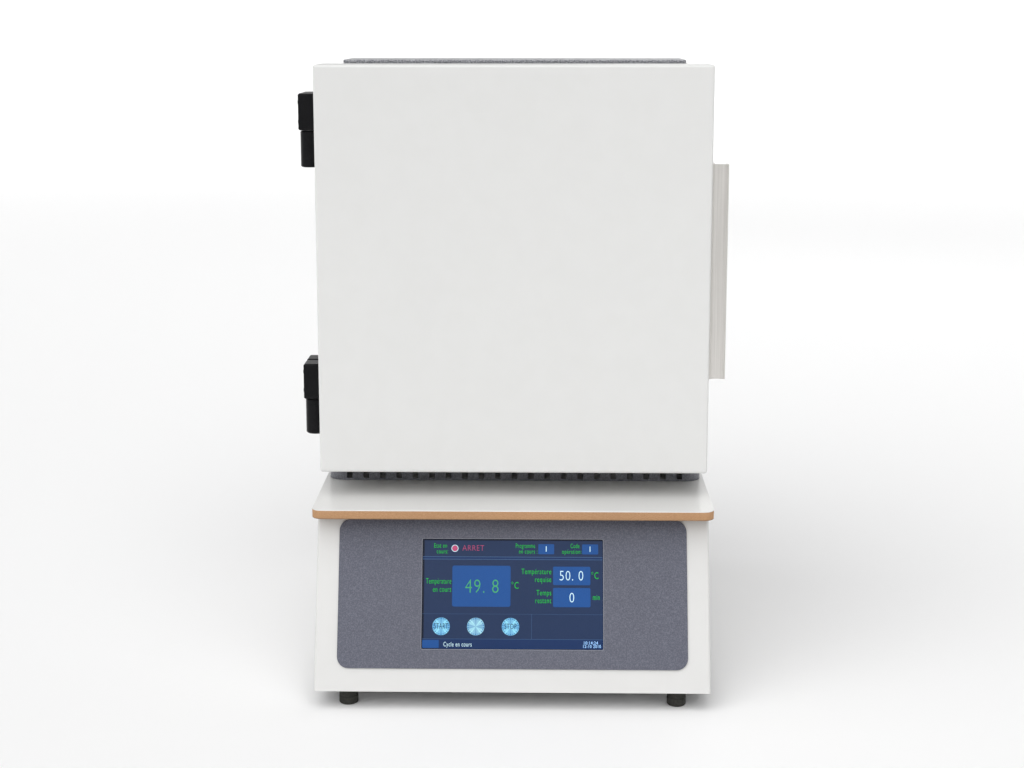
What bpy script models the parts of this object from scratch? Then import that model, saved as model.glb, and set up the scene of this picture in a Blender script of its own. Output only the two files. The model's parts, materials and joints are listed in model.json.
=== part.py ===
"""Bench-top dental furnace: chamber unit with a side-hinged door on a worktop board and a control base.

All lengths are in metres. +X is to the viewer's right, +Y to the back and +Z up. Depths are counted
from the door's front face and heights from the surface that the feet stand on. The root empty then
brings the middle of the whole outline over the origin.
"""

import math

import bmesh
import bpy
from mathutils import Matrix, Vector

# Common values
BODY_WIDTH = 0.380
SHEET = 0.0015
SEAT_GAP = 0.0003
OVERRUN = 0.004
ROUND_SIDES = 32
SMALL_SIDES = 16
CORNER_STEPS = 6
SMOOTH_ANGLE = math.radians(35)

# Feet
FOOT_HEIGHT = 0.018
FOOT_FLANGE_RADIUS = 0.0104
FOOT_FLANGE_THICKNESS = 0.003
FOOT_BODY_RADIUS = 0.0092
FOOT_EDGE_RADIUS = 0.0016
FOOT_SIDE_INSET = 0.0315
FOOT_FRONT_INSET = 0.019

# Control base
BASE_HEIGHT = 0.161
BASE_TOE = 0.078
PANEL_SLOPE = math.radians(19.35)
PLATE_THICKNESS = 0.0012
PLATE_SIDE_MARGIN = 0.02165
PLATE_BOTTOM_MARGIN = 0.0218
PLATE_TOP_MARGIN = 0.0066
PLATE_CORNER_RADIUS = 0.011
SCREEN_WIDTH = 0.1744
SCREEN_HEIGHT = 0.1046
SCREEN_CORNER_RADIUS = 0.0012
GLASS_THICKNESS = 0.0015
GLASS_RECESS = 0.0004
MODULE_FLANGE = 0.007
MODULE_DEPTH = 0.020
STANDOFF_RADIUS = 0.003
STANDOFF_LENGTH = 0.009
STANDOFF_INSET = 0.012
CIRCUIT_THICKNESS = 0.0016
CIRCUIT_INSET = 0.006
CHIP_SIZE = 0.022
CHIP_HEIGHT = 0.003
CONNECTOR_LENGTH = 0.052
CONNECTOR_DEPTH = 0.009
CONNECTOR_HEIGHT = 0.011

# Worktop board
BOARD_THICKNESS = 0.009
BOARD_SIDE_LIP = 0.0035
BOARD_FRONT_LIP = 0.0464
BOARD_REAR_LIP = 0.008
BOARD_CORNER_RADIUS = 0.010

# Door
DOOR_FLOOR_GAP = 0.025
DOOR_HEIGHT = 0.3967
DOOR_DEPTH = 0.0585
DOOR_GAP = 0.0038
DOOR_PLUG_CLEARANCE = 0.002
DOOR_PLUG_TAPER = 0.007
DOOR_PLUG_SHARE = 0.94
PLUG_HOLE_CLEARANCE = 0.0005
SEAL_INSET = 0.008
SEAL_WIDTH = 0.012

# Handle profile on the door's right side
HANDLE_LENGTH = 0.209
HANDLE_REACH = 0.0155
HANDLE_FRONT_SETBACK = 0.0050
HANDLE_WEB = 0.0028
HANDLE_HOLLOW = 0.0020
HANDLE_LIP_DEPTH = 0.0100
HANDLE_LIP_THICKNESS = 0.0024
HANDLE_FLANGE_DEPTH = 0.0400
HANDLE_FLANGE_THICKNESS = 0.0026
HANDLE_ARC_STEPS = 8

# Hinges on the left
HINGE_HEIGHT = 0.072
HINGE_END_DISTANCE = 0.0645
HINGE_AXIS_OUT = 0.010
HINGE_AXIS_AHEAD = 0.0085
HINGE_REACH = 0.020
HINGE_LEAF_FRONT = 0.011
HINGE_LEAF_REAR = 0.012
HINGE_BODY_LEAF_AHEAD = 0.004
HINGE_BODY_LEAF_DEPTH = 0.021
HINGE_ARM_CLEARANCE = 0.0006
HINGE_KNUCKLE_CLEARANCE = 0.0004
HINGE_SPLIT_GAP = 0.0006
HINGE_CHAMFER = 0.0012
HINGE_PIN_RADIUS = 0.004
HINGE_PIN_CLEARANCE = 0.0003
HINGE_PIN_END_WALL = 0.006

# Chamber casing
CASING_DEPTH = 0.3277
CASING_TOP_DROP = 0.006
CASING_CORNER_RADIUS = 0.016
VENT_COUNT = 21
VENT_PITCH = 0.0168
VENT_WIDTH = 0.0058
VENT_BOTTOM = 0.0023
VENT_HEIGHT = 0.014
VENT_COVER_RISE = 0.0035
VENT_COVER_WIDTH = 0.3356
VENT_COVER_DEPTH = 0.073
VENT_COVER_SHEET = 0.0012
TOP_VENT_SETBACK = 0.012
TOP_VENT_LENGTH = 0.046
REAR_VENT_DROP = 0.024
REAR_VENT_HEIGHT = 0.030
REAR_VENT_PITCHES = 2
UNDERFLOOR_SPACE = 0.0257

# Insulation, hearth and chamber
SIDE_SPACE = 0.0285
REAR_SPACE = 0.055
TERMINAL_SPACE = 0.076
INSULATION_WALL = 0.085
THROAT_DEPTH = 0.044
THROAT_REVEAL = 0.003
HEARTH_THICKNESS = 0.008
HEARTH_MARGIN = 0.012

# Heating elements and what holds and feeds them
ELEMENT_SPREAD_SHARE = 0.25
ELEMENT_WALL_DISTANCE = 0.012
ELEMENT_HALF_PITCH = 0.0125
ELEMENT_HOT_RADIUS = 0.003
ELEMENT_COLD_RADIUS = 0.006
ELEMENT_FLOOR_CLEARANCE = 0.024
ELEMENT_COLD_START = 0.020
ELEMENT_TAPER_LENGTH = 0.015
ELEMENT_TOP_MARGIN = 0.037
ELEMENT_BEND_STEPS = 8
ROOF_HOLE_CLEARANCE = 0.0015
CARRIER_THICKNESS = 0.014
CARRIER_MARGIN = 0.017
CARRIER_CLEARANCE = 0.0004
CLAMP_RISE = 0.006
CLAMP_HEIGHT = 0.012
CLAMP_WALL = 0.0022
STRAP_WIDTH = 0.010
STRAP_THICKNESS = 0.0022
STRAP_OVERLAP = 0.0012
STRAP_SIDE_ARCH = 0.010
STRAP_CROSS_ARCH = 0.015
STRAP_ARC_STEPS = 10
LEAD_RADIUS = 0.004
LEAD_STANDOFF = 0.027
LEAD_BEND_RADIUS = 0.024
LEAD_BEND_STEPS = 6
LEAD_HOLE_CLEARANCE = 0.002
LUG_RADIUS = 0.0065
LUG_HEIGHT = 0.005
THERMOCOUPLE_RADIUS = 0.004
THERMOCOUPLE_REACH = 0.022
THERMOCOUPLE_RISE = 0.030
THERMOCOUPLE_CLEARANCE = 0.0006
THERMOCOUPLE_HEAD_RADIUS = 0.017
THERMOCOUPLE_HEAD_DEPTH = 0.028

# Catch and door sensor
CATCH_WIDTH = 0.0095
CATCH_HEIGHT = 0.044
CATCH_PROUD = 0.0019
CATCH_DEPTH = 0.014
CATCH_FLANGE = 0.007
CATCH_FLANGE_THICKNESS = 0.002
STRIKE_THICKNESS = 0.0012
STRIKE_MARGIN = 0.004
SENSOR_HEIGHT = 0.026
SENSOR_DROP = 0.050

# Transformer
CORE_WIDTH = 0.120
CORE_HEIGHT = 0.100
CORE_STACK = 0.060
CORE_LIMB = 0.030
COIL_CLEARANCE = 0.0005
COIL_FLOOR_CLEARANCE = 0.001
COIL_OVERHANG = 0.018
TERMINAL_BOARD_THICKNESS = 0.004
TERMINAL_BOARD_DEPTH = 0.016
TERMINAL_BOARD_MARGIN = 0.009

# Power electronics
SINK_WIDTH = 0.080
SINK_LENGTH = 0.100
SINK_BASE = 0.008
SINK_HEIGHT = 0.046
SINK_FINS = 9
SINK_FIN_THICKNESS = 0.0022
SINK_MODULE_HEIGHT = 0.024
SINK_MODULE_LENGTH = 0.045
SUPPLY_WIDTH = 0.082
SUPPLY_LENGTH = 0.098
SUPPLY_HEIGHT = 0.036
SUPPLY_STEP_LENGTH = 0.016
SUPPLY_STEP_HEIGHT = 0.018
ELECTRONICS_WALL_MARGIN = 0.020
ELECTRONICS_REAR_MARGIN = 0.130

# Rear fittings
FAN_SIZE = 0.060
FAN_DEPTH = 0.025
FAN_BORE_RADIUS = 0.0285
FAN_WALL_MARGIN = 0.030
FAN_HUB_RADIUS = 0.013
FAN_HUB_DEPTH = 0.005
FAN_AXIAL_CLEARANCE = 0.0006
FAN_ROTOR_SETBACK = 0.002
FAN_STRUT_WIDTH = 0.004
FAN_STRUT_DEPTH = 0.003
FAN_BLADES = 7
FAN_BLADE_TIP_CLEARANCE = 0.0012
FAN_BLADE_ROOT_OVERLAP = 0.0012
FAN_BLADE_THICKNESS = 0.0014
FAN_BLADE_PITCH = math.radians(36)
FAN_BLADE_CHORD_SHARE = 0.86
GUARD_THICKNESS = 0.0012
GUARD_RINGS = 4
GUARD_BAR = 0.0018
GUARD_CORNER_RADIUS = 0.006
FITTINGS_HEIGHT_SHARE = 0.5
INLET_WALL_MARGIN = 0.024
INLET_WIDTH = 0.032
INLET_HEIGHT = 0.025
INLET_DEPTH = 0.026
INLET_FLANGE = 0.006
INLET_FLANGE_THICKNESS = 0.0025
INLET_WALL = 0.0022
INLET_RECESS_DEPTH = 0.020
INLET_CHAMFER = 0.005
PIN_WIDTH = 0.0070
PIN_THICKNESS = 0.0020
PIN_LENGTH = 0.014
PIN_HALF_PITCH = 0.0060
PIN_ROW_OFFSET = 0.0030
SWITCH_SPACING = 0.052
SWITCH_WIDTH = 0.028
SWITCH_HEIGHT = 0.032
SWITCH_DEPTH = 0.020
SWITCH_FLANGE = 0.0025
SWITCH_FLANGE_THICKNESS = 0.002
SWITCH_WALL = 0.0030
SWITCH_FLOOR = 0.0035
ROCKER_CLEARANCE = 0.0004
ROCKER_END_CLEARANCE = 0.0010
ROCKER_EAR = 0.0042
ROCKER_VALLEY = 0.0018
ROCKER_SKIRT = 0.0010
ROCKER_KEEL = 0.0070
ROCKER_KEEL_SHARE = 0.55
ROCKER_PIVOT_SETBACK = 0.0005
ROCKER_TILT = math.radians(8)

# Heights worked out from the above
HALF_WIDTH = BODY_WIDTH / 2
BASE_TOP_Z = FOOT_HEIGHT + BASE_HEIGHT
BOARD_BOTTOM_Z = BASE_TOP_Z + SEAT_GAP
BOARD_TOP_Z = BOARD_BOTTOM_Z + BOARD_THICKNESS
DOOR_BOTTOM_Z = BOARD_TOP_Z + DOOR_FLOOR_GAP
DOOR_TOP_Z = DOOR_BOTTOM_Z + DOOR_HEIGHT
DOOR_MID_Z = (DOOR_BOTTOM_Z + DOOR_TOP_Z) / 2
CASING_BOTTOM_Z = BOARD_TOP_Z + SEAT_GAP
CASING_TOP_Z = DOOR_TOP_Z - CASING_TOP_DROP
CASING_LID_Z = CASING_TOP_Z - SHEET
WRAP_TOP_Z = CASING_LID_Z - SEAT_GAP
VENT_COVER_TOP_Z = DOOR_TOP_Z + VENT_COVER_RISE
CASING_FLOOR_Z = BOARD_TOP_Z + UNDERFLOOR_SPACE
INSULATION_BOTTOM_Z = CASING_FLOOR_Z + SHEET + SEAT_GAP
CHAMBER_BOTTOM_Z = INSULATION_BOTTOM_Z + INSULATION_WALL + SEAT_GAP
ROOF_TOP_Z = WRAP_TOP_Z - TERMINAL_SPACE
ROOF_BOTTOM_Z = ROOF_TOP_Z - INSULATION_WALL
CHAMBER_TOP_Z = ROOF_BOTTOM_Z - SEAT_GAP
CHAMBER_MID_Z = (CHAMBER_BOTTOM_Z + CHAMBER_TOP_Z) / 2

# Depths worked out from the above
SLOPE_RUN = math.tan(PANEL_SLOPE)
SLOPE_LENGTH = BASE_HEIGHT / math.cos(PANEL_SLOPE)
SLOPED_SHEET = SHEET / math.cos(PANEL_SLOPE)
CASING_FRONT_Y = DOOR_DEPTH + DOOR_GAP
CASING_REAR_Y = CASING_FRONT_Y + CASING_DEPTH
REAR_PANEL_Y = CASING_REAR_Y - SHEET
INSULATION_FRONT_Y = CASING_FRONT_Y + SHEET + SEAT_GAP
INSULATION_REAR_Y = REAR_PANEL_Y - REAR_SPACE
CHAMBER_FRONT_Y = INSULATION_FRONT_Y + THROAT_DEPTH
CHAMBER_REAR_Y = INSULATION_REAR_Y - INSULATION_WALL
CHAMBER_MID_Y = (CHAMBER_FRONT_Y + CHAMBER_REAR_Y) / 2
LEAD_Y = INSULATION_REAR_Y + LEAD_STANDOFF

# Widths worked out from the above
INNER_HALF = HALF_WIDTH - SHEET - SEAT_GAP
INSULATION_HALF = HALF_WIDTH - SHEET - SIDE_SPACE
CHAMBER_HALF = INSULATION_HALF - INSULATION_WALL
ELEMENT_X = CHAMBER_HALF - ELEMENT_WALL_DISTANCE
ELEMENT_SPREAD = ELEMENT_SPREAD_SHARE * (CHAMBER_REAR_Y - CHAMBER_FRONT_Y)
ELEMENT_TOP_Z = WRAP_TOP_Z - ELEMENT_TOP_MARGIN
CARRIER_Z = ROOF_TOP_Z + SEAT_GAP
CLAMP_Z = CARRIER_Z + CARRIER_THICKNESS + CLAMP_RISE
CLAMP_HALF = ELEMENT_COLD_RADIUS + CARRIER_CLEARANCE + CLAMP_WALL
CATCH_X = (INSULATION_HALF + HALF_WIDTH - CASING_CORNER_RADIUS) / 2

# Places worked out from the above
HINGE_X = -(HALF_WIDTH + HINGE_AXIS_OUT)
HINGE_Y = DOOR_DEPTH - HINGE_AXIS_AHEAD
FITTINGS_Z = FOOT_HEIGHT + FITTINGS_HEIGHT_SHARE * BASE_HEIGHT
FAN_X = HALF_WIDTH - FAN_WALL_MARGIN - FAN_SIZE / 2
FAN_REAR_Y = REAR_PANEL_Y - SEAT_GAP
FAN_FRONT_Y = FAN_REAR_Y - FAN_DEPTH
INLET_X = -(HALF_WIDTH - INLET_WALL_MARGIN - INLET_WIDTH / 2)
SWITCH_X = INLET_X + SWITCH_SPACING
FITTING_FACE_Y = CASING_REAR_Y + SEAT_GAP
PIVOT_Y = FITTING_FACE_Y + SWITCH_FLANGE_THICKNESS - ROCKER_PIVOT_SETBACK
FLOOR_PIECE_Z = FOOT_HEIGHT + SHEET + SEAT_GAP
COIL_BOTTOM_Z = FLOOR_PIECE_Z + CORE_LIMB / 2 + COIL_FLOOR_CLEARANCE
COIL_TOP_Z = FLOOR_PIECE_Z + CORE_HEIGHT - CORE_LIMB / 2 - COIL_FLOOR_CLEARANCE
COIL_HALF = CORE_WIDTH / 2 - CORE_LIMB / 2 - COIL_CLEARANCE
CORE_MID_Y = LEAD_Y - CORE_STACK / 2 - TERMINAL_BOARD_DEPTH / 2 - SEAT_GAP
LEAD_END_Z = COIL_TOP_Z + TERMINAL_BOARD_THICKNESS + SEAT_GAP

# Middle of the whole outline, which the root empty moves to the origin
LEFT_REACH = HALF_WIDTH + HINGE_REACH
RIGHT_REACH = HALF_WIDTH + SEAT_GAP + HANDLE_REACH
OUTLINE_MID_X = (RIGHT_REACH - LEFT_REACH) / 2
OUTLINE_MID_Y = (CASING_REAR_Y + BOARD_REAR_LIP - BASE_TOE) / 2


class Carrier:
    """An empty that pieces hang on. A local one has pieces in its own frame, the others in the furnace's."""

    def __init__(self, name, place, parent=None, tilt=0.0, local=False):
        self.empty = bpy.data.objects.new(name, None)
        self.empty.location = place
        self.empty.rotation_euler = (tilt, 0.0, 0.0)
        if parent:
            self.empty.parent = parent.empty
        bpy.context.scene.collection.objects.link(self.empty)
        self.offset = Vector() if local else -Vector(place)


def finish(name, colour, roughness, metallic=0.0):
    """A plain Principled material."""
    material = bpy.data.materials.new(name)
    material.use_nodes = True
    shader = material.node_tree.nodes["Principled BSDF"]
    shader.inputs["Base Color"].default_value = (*colour, 1.0)
    shader.inputs["Roughness"].default_value = roughness
    shader.inputs["Metallic"].default_value = metallic
    material.diffuse_color = (*colour, 1.0)
    return material


def mesh_of(name, shape):
    mesh = bpy.data.meshes.new(name)
    shape.to_mesh(mesh)
    shape.free()
    return mesh


def add(name, shape, material, carrier, smooth=False):
    """Makes one named sub-part from a bmesh."""
    mesh = mesh_of(name, shape)
    mesh.materials.append(material)
    if smooth:
        mesh.shade_smooth()
        mesh.set_sharp_from_angle(angle=SMOOTH_ANGLE)
    obj = bpy.data.objects.new(name, mesh)
    obj.parent = carrier.empty
    obj.location = carrier.offset
    bpy.context.scene.collection.objects.link(obj)
    return obj


def combine(obj, shape, carrier, operation, word):
    helper = bpy.data.objects.new(f"{obj.name}_{word}_{len(obj.modifiers)}", mesh_of(word, shape))
    helper.parent = carrier.empty
    helper.location = carrier.offset
    helper.hide_render = True
    helper.display_type = "WIRE"
    bpy.context.scene.collection.objects.link(helper)
    modifier = obj.modifiers.new(word, "BOOLEAN")
    modifier.operation = operation
    modifier.solver = "EXACT"
    modifier.object = helper


def cut(obj, shape, carrier):
    """Takes a closed shape away from a sub-part."""
    combine(obj, shape, carrier, "DIFFERENCE", "cut")


def join(obj, shape, carrier):
    """Makes a closed shape that overlaps a sub-part one with it."""
    combine(obj, shape, carrier, "UNION", "join")


def box(low, high):
    """A block between two corners."""
    size = [b - a for a, b in zip(low, high)]
    middle = [(a + b) / 2 for a, b in zip(low, high)]
    shape = bmesh.new()
    bmesh.ops.create_cube(shape, size=1.0, matrix=Matrix.Translation(middle) @ Matrix.Diagonal((*size, 1.0)))
    return shape


def plane_and_axis(axis):
    """Numbers of the two axes across an axis, in X, Y, Z order, then its own number."""
    own = "XYZ".index(axis)
    u, v = [number for number in range(len("XYZ")) if number != own]
    return u, v, own


def prism(outline, axis, start, end):
    """An outline extruded along an axis. Its points lie in the other two axes, in X, Y, Z order."""
    u, v, w = plane_and_axis(axis)
    shape = bmesh.new()
    corners = []
    for point in outline:
        place = Vector()
        place[u] = point[0]
        place[v] = point[1]
        place[w] = start
        corners.append(shape.verts.new(place))
    face = shape.faces.new(corners)
    far_side = bmesh.ops.extrude_face_region(shape, geom=[face])["geom"]
    step = Vector()
    step[w] = end - start
    far_corners = [part for part in far_side if isinstance(part, bmesh.types.BMVert)]
    bmesh.ops.translate(shape, vec=step, verts=far_corners)
    bmesh.ops.recalc_face_normals(shape, faces=shape.faces)
    return shape


def arc(centre, radius, start, end, steps):
    """Points on a circle from one angle to another, both included."""
    return [
        (
            centre[0] + radius * math.cos(start + (end - start) * step / steps),
            centre[1] + radius * math.sin(start + (end - start) * step / steps),
        )
        for step in range(steps + 1)
    ]


def circle(centre, radius, sides):
    return arc(centre, radius, 0.0, math.tau, sides)[:-1]


def rounded_rectangle(low, high, radius, steps=CORNER_STEPS):
    """A rectangle with round corners, counter-clockwise."""
    quarter = math.pi / 2
    centres = [
        (high[0] - radius, high[1] - radius),
        (low[0] + radius, high[1] - radius),
        (low[0] + radius, low[1] + radius),
        (high[0] - radius, low[1] + radius),
    ]
    points = []
    for turn, centre in enumerate(centres):
        points += arc(centre, radius, turn * quarter, (turn + 1) * quarter, steps)
    return points


def front_rounded(half, front, rear, radius):
    """A plan outline with round corners at the front and square ones at the back."""
    quarter = math.pi / 2
    left = arc((-half + radius, front + radius), radius, 2 * quarter, 3 * quarter, CORNER_STEPS)
    right = arc((half - radius, front + radius), radius, 3 * quarter, 4 * quarter, CORNER_STEPS)
    return [(half, rear), (-half, rear)] + left + right


def rod(axis, centre, radius, start, end, sides=ROUND_SIDES):
    """A cylinder along an axis. The centre is given in the other two axes, in X, Y, Z order."""
    return prism(circle(centre, radius, sides), axis, start, end)


def turned(profile, sides=ROUND_SIDES):
    """A profile of (radius, height) points turned about Z, from the axis and back to it."""
    shape = bmesh.new()
    points = [shape.verts.new((radius, 0.0, height)) for radius, height in profile]
    edges = [shape.edges.new(pair) for pair in zip(points, points[1:])]
    bmesh.ops.spin(
        shape,
        geom=points + edges,
        cent=(0.0, 0.0, 0.0),
        axis=(0.0, 0.0, 1.0),
        angle=math.tau,
        steps=sides,
        use_merge=True,
    )
    bmesh.ops.remove_doubles(shape, verts=shape.verts, dist=SEAT_GAP / 100)
    bmesh.ops.recalc_face_normals(shape, faces=shape.faces)
    return shape


def swept(path, radii, sides=SMALL_SIDES):
    """A tube through the path's points, with a radius at each of them."""
    shape = bmesh.new()
    rings = []
    side = None
    for index, point in enumerate(path):
        before = path[max(index - 1, 0)]
        after = path[min(index + 1, len(path) - 1)]
        along = (after - before).normalized()
        if side is None:
            side = along.orthogonal().normalized()
        side = (side - along * side.dot(along)).normalized()
        other = along.cross(side)
        rings.append(
            [
                shape.verts.new(point + radii[index] * (side * math.cos(turn) + other * math.sin(turn)))
                for turn in (math.tau * step / sides for step in range(sides))
            ]
        )
    for first, second in zip(rings, rings[1:]):
        for step in range(sides):
            after = (step + 1) % sides
            shape.faces.new((first[step], first[after], second[after], second[step]))
    shape.faces.new(rings[0][::-1])
    shape.faces.new(rings[-1])
    bmesh.ops.recalc_face_normals(shape, faces=shape.faces)
    return shape


def tapered_block(low, high, axis, inset):
    """A block whose face at the high end of an axis is drawn in on all four sides."""
    u, v, w = plane_and_axis(axis)
    shape = box(low, high)
    middle = [(a + b) / 2 for a, b in zip(low, high)]
    for corner in shape.verts:
        if corner.co[w] > middle[w]:
            for side in (u, v):
                corner.co[side] -= math.copysign(inset, corner.co[side] - middle[side])
    return shape


def gathered(shapes):
    """Several separate closed shapes in one bmesh, for one cut."""
    whole = bmesh.new()
    for shape in shapes:
        mesh = mesh_of("gathered", shape)
        whole.from_mesh(mesh)
        bpy.data.meshes.remove(mesh)
    return whole


def moved(shape, place):
    bmesh.ops.translate(shape, vec=place, verts=shape.verts)
    return shape


def slope_y(height, inset=0.0):
    """Depth of the base's sloped front at a height, or of a face that lies behind it."""
    return -BASE_TOE + inset + (height - FOOT_HEIGHT) * SLOPE_RUN


def lead_holes(bottom, top):
    """Round holes for the two power leads."""
    radius = LEAD_RADIUS + LEAD_HOLE_CLEARANCE
    centres = [(side * ELEMENT_X, LEAD_Y) for side in (-1, 1)]
    return gathered([rod("Z", centre, radius, bottom, top, SMALL_SIDES) for centre in centres])


def vent_places():
    """Middles of the vent slots across the casing."""
    return [(number - (VENT_COUNT - 1) / 2) * VENT_PITCH for number in range(VENT_COUNT)]


def base_casing(material, root, panel):
    """Folded shell of the base: sloped front, both sides and the deck, open behind and below."""
    outline = [
        (slope_y(FOOT_HEIGHT), FOOT_HEIGHT),
        (CASING_REAR_Y, FOOT_HEIGHT),
        (CASING_REAR_Y, BASE_TOP_Z),
        (slope_y(BASE_TOP_Z), BASE_TOP_Z),
    ]
    below = FOOT_HEIGHT - OVERRUN
    deck = BASE_TOP_Z - SHEET
    hollow = [
        (slope_y(below, SLOPED_SHEET), below),
        (CASING_REAR_Y + OVERRUN, below),
        (CASING_REAR_Y + OVERRUN, deck),
        (slope_y(deck, SLOPED_SHEET), deck),
    ]
    casing = add("base_casing", prism(outline, "X", -HALF_WIDTH, HALF_WIDTH), material, root)
    cut(casing, prism(hollow, "X", -HALF_WIDTH + SHEET, HALF_WIDTH - SHEET), root)
    cut(casing, lead_holes(deck - OVERRUN, BASE_TOP_Z + OVERRUN), root)
    window = screen_outline(SEAT_GAP)
    cut(casing, prism(window, "Y", -OVERRUN, SHEET + OVERRUN), panel)


def base_floor(material, root):
    """Floor sheet between the sides of the base."""
    top = FOOT_HEIGHT + SHEET
    low = (-INNER_HALF, slope_y(top, SLOPED_SHEET) + SEAT_GAP, FOOT_HEIGHT)
    add("base_floor", box(low, (INNER_HALF, CASING_REAR_Y, top)), material, root)


def base_rear_panel(material, root):
    """Rear sheet of the base with its holes for the fan, the inlet and the switch."""
    low = (-INNER_HALF, REAR_PANEL_Y, FLOOR_PIECE_Z)
    high = (INNER_HALF, CASING_REAR_Y, BASE_TOP_Z - SHEET - SEAT_GAP)
    sheet = add("base_rear_panel", box(low, high), material, root)
    front = REAR_PANEL_Y - OVERRUN
    rear = CASING_REAR_Y + OVERRUN
    holes = [
        rod("Y", (FAN_X, FITTINGS_Z), FAN_BORE_RADIUS, front, rear),
        opening(INLET_X, INLET_WIDTH, INLET_HEIGHT, front, rear),
        opening(SWITCH_X, SWITCH_WIDTH, SWITCH_HEIGHT, front, rear),
    ]
    cut(sheet, gathered(holes), root)


def opening(x, width, height, front, rear):
    """Cutter for a fitting's hole in the base's rear panel."""
    half = width / 2 + SEAT_GAP
    tall = height / 2 + SEAT_GAP
    return box((x - half, front, FITTINGS_Z - tall), (x + half, rear, FITTINGS_Z + tall))


def panel_middle():
    """Height of the control plate's middle along the slope."""
    return (PLATE_BOTTOM_MARGIN + SLOPE_LENGTH - PLATE_TOP_MARGIN) / 2


def screen_outline(grow=0.0):
    """The screen's outline on the slope, with room around it."""
    half = SCREEN_WIDTH / 2 + grow
    tall = SCREEN_HEIGHT / 2 + grow
    middle = panel_middle()
    return rounded_rectangle((-half, middle - tall), (half, middle + tall), SCREEN_CORNER_RADIUS + grow, 2)


def control_plate(material, panel):
    """Dark plate on the sloped front, with the window for the screen."""
    half = HALF_WIDTH - PLATE_SIDE_MARGIN
    low = (-half, PLATE_BOTTOM_MARGIN)
    high = (half, SLOPE_LENGTH - PLATE_TOP_MARGIN)
    outline = rounded_rectangle(low, high, PLATE_CORNER_RADIUS)
    plate = add("control_plate", prism(outline, "Y", -SEAT_GAP - PLATE_THICKNESS, -SEAT_GAP), material, panel)
    window = screen_outline(SEAT_GAP)
    cut(plate, prism(window, "Y", -SEAT_GAP - PLATE_THICKNESS - OVERRUN, OVERRUN), panel)


def display(glass, dark, circuit, panel):
    """Screen glass, the display behind it and the controller board on the display's standoffs."""
    front = -SEAT_GAP - PLATE_THICKNESS + GLASS_RECESS
    back = front + GLASS_THICKNESS
    add("screen_glass", prism(screen_outline(), "Y", front, back), glass, panel)
    middle = panel_middle()
    half = SCREEN_WIDTH / 2 + MODULE_FLANGE
    tall = SCREEN_HEIGHT / 2 + MODULE_FLANGE
    flange = SHEET + SEAT_GAP
    rear = flange + MODULE_DEPTH
    case = box((-half, flange, middle - tall), (half, rear, middle + tall))
    module = add("display_module", case, dark, panel)
    join(module, prism(screen_outline(), "Y", back + SEAT_GAP, flange + OVERRUN), panel)
    ends = rear + STANDOFF_LENGTH
    posts = [
        rod(
            "Y",
            (x * (half - STANDOFF_INSET), middle + z * (tall - STANDOFF_INSET)),
            STANDOFF_RADIUS,
            rear - OVERRUN,
            ends,
            SMALL_SIDES,
        )
        for x in (-1, 1)
        for z in (-1, 1)
    ]
    join(module, gathered(posts), panel)
    near = ends + SEAT_GAP
    far = near + CIRCUIT_THICKNESS
    wide = half - CIRCUIT_INSET
    high = tall - CIRCUIT_INSET
    sheet = box((-wide, near, middle - high), (wide, far, middle + high))
    board = add("controller_board", sheet, circuit, panel)
    chips = [
        box(
            (x * wide / 2 - CHIP_SIZE / 2, near + SEAT_GAP, middle - CHIP_SIZE / 2),
            (x * wide / 2 + CHIP_SIZE / 2, far + CHIP_HEIGHT, middle + CHIP_SIZE / 2),
        )
        for x in (-1, 0, 1)
    ]
    socket = box(
        (-CONNECTOR_LENGTH / 2, near + SEAT_GAP, middle - high + SEAT_GAP),
        (CONNECTOR_LENGTH / 2, far + CONNECTOR_HEIGHT, middle - high + CONNECTOR_DEPTH),
    )
    join(board, gathered(chips + [socket]), panel)


def feet(material, root):
    """Four turned rubber feet under the base floor."""
    top = FOOT_HEIGHT - SEAT_GAP
    flange = top - FOOT_FLANGE_THICKNESS
    centre = (FOOT_BODY_RADIUS - FOOT_EDGE_RADIUS, FOOT_EDGE_RADIUS)
    edge = arc(centre, FOOT_EDGE_RADIUS, -math.pi / 2, 0.0, CORNER_STEPS // 2)
    profile = [(0.0, 0.0)] + edge + [(FOOT_BODY_RADIUS, flange), (FOOT_FLANGE_RADIUS, flange)]
    profile += [(FOOT_FLANGE_RADIUS, top), (0.0, top)]
    front = -BASE_TOE + FOOT_FRONT_INSET
    rear = CASING_REAR_Y - FOOT_FRONT_INSET
    for row, y in (("front", front), ("rear", rear)):
        for side, x in (("left", -1), ("right", 1)):
            place = (x * (HALF_WIDTH - FOOT_SIDE_INSET), y, 0.0)
            add(f"foot_{row}_{side}", moved(turned(profile), place), material, root, smooth=True)


def worktop_board(material, root):
    """Board that the chamber unit stands on."""
    half = HALF_WIDTH + BOARD_SIDE_LIP
    outline = rounded_rectangle(
        (-half, -BOARD_FRONT_LIP), (half, CASING_REAR_Y + BOARD_REAR_LIP), BOARD_CORNER_RADIUS
    )
    board = add("worktop_board", prism(outline, "Z", BOARD_BOTTOM_Z, BOARD_TOP_Z), material, root)
    cut(board, lead_holes(BOARD_BOTTOM_Z - OVERRUN, BOARD_TOP_Z + OVERRUN), root)


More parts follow.
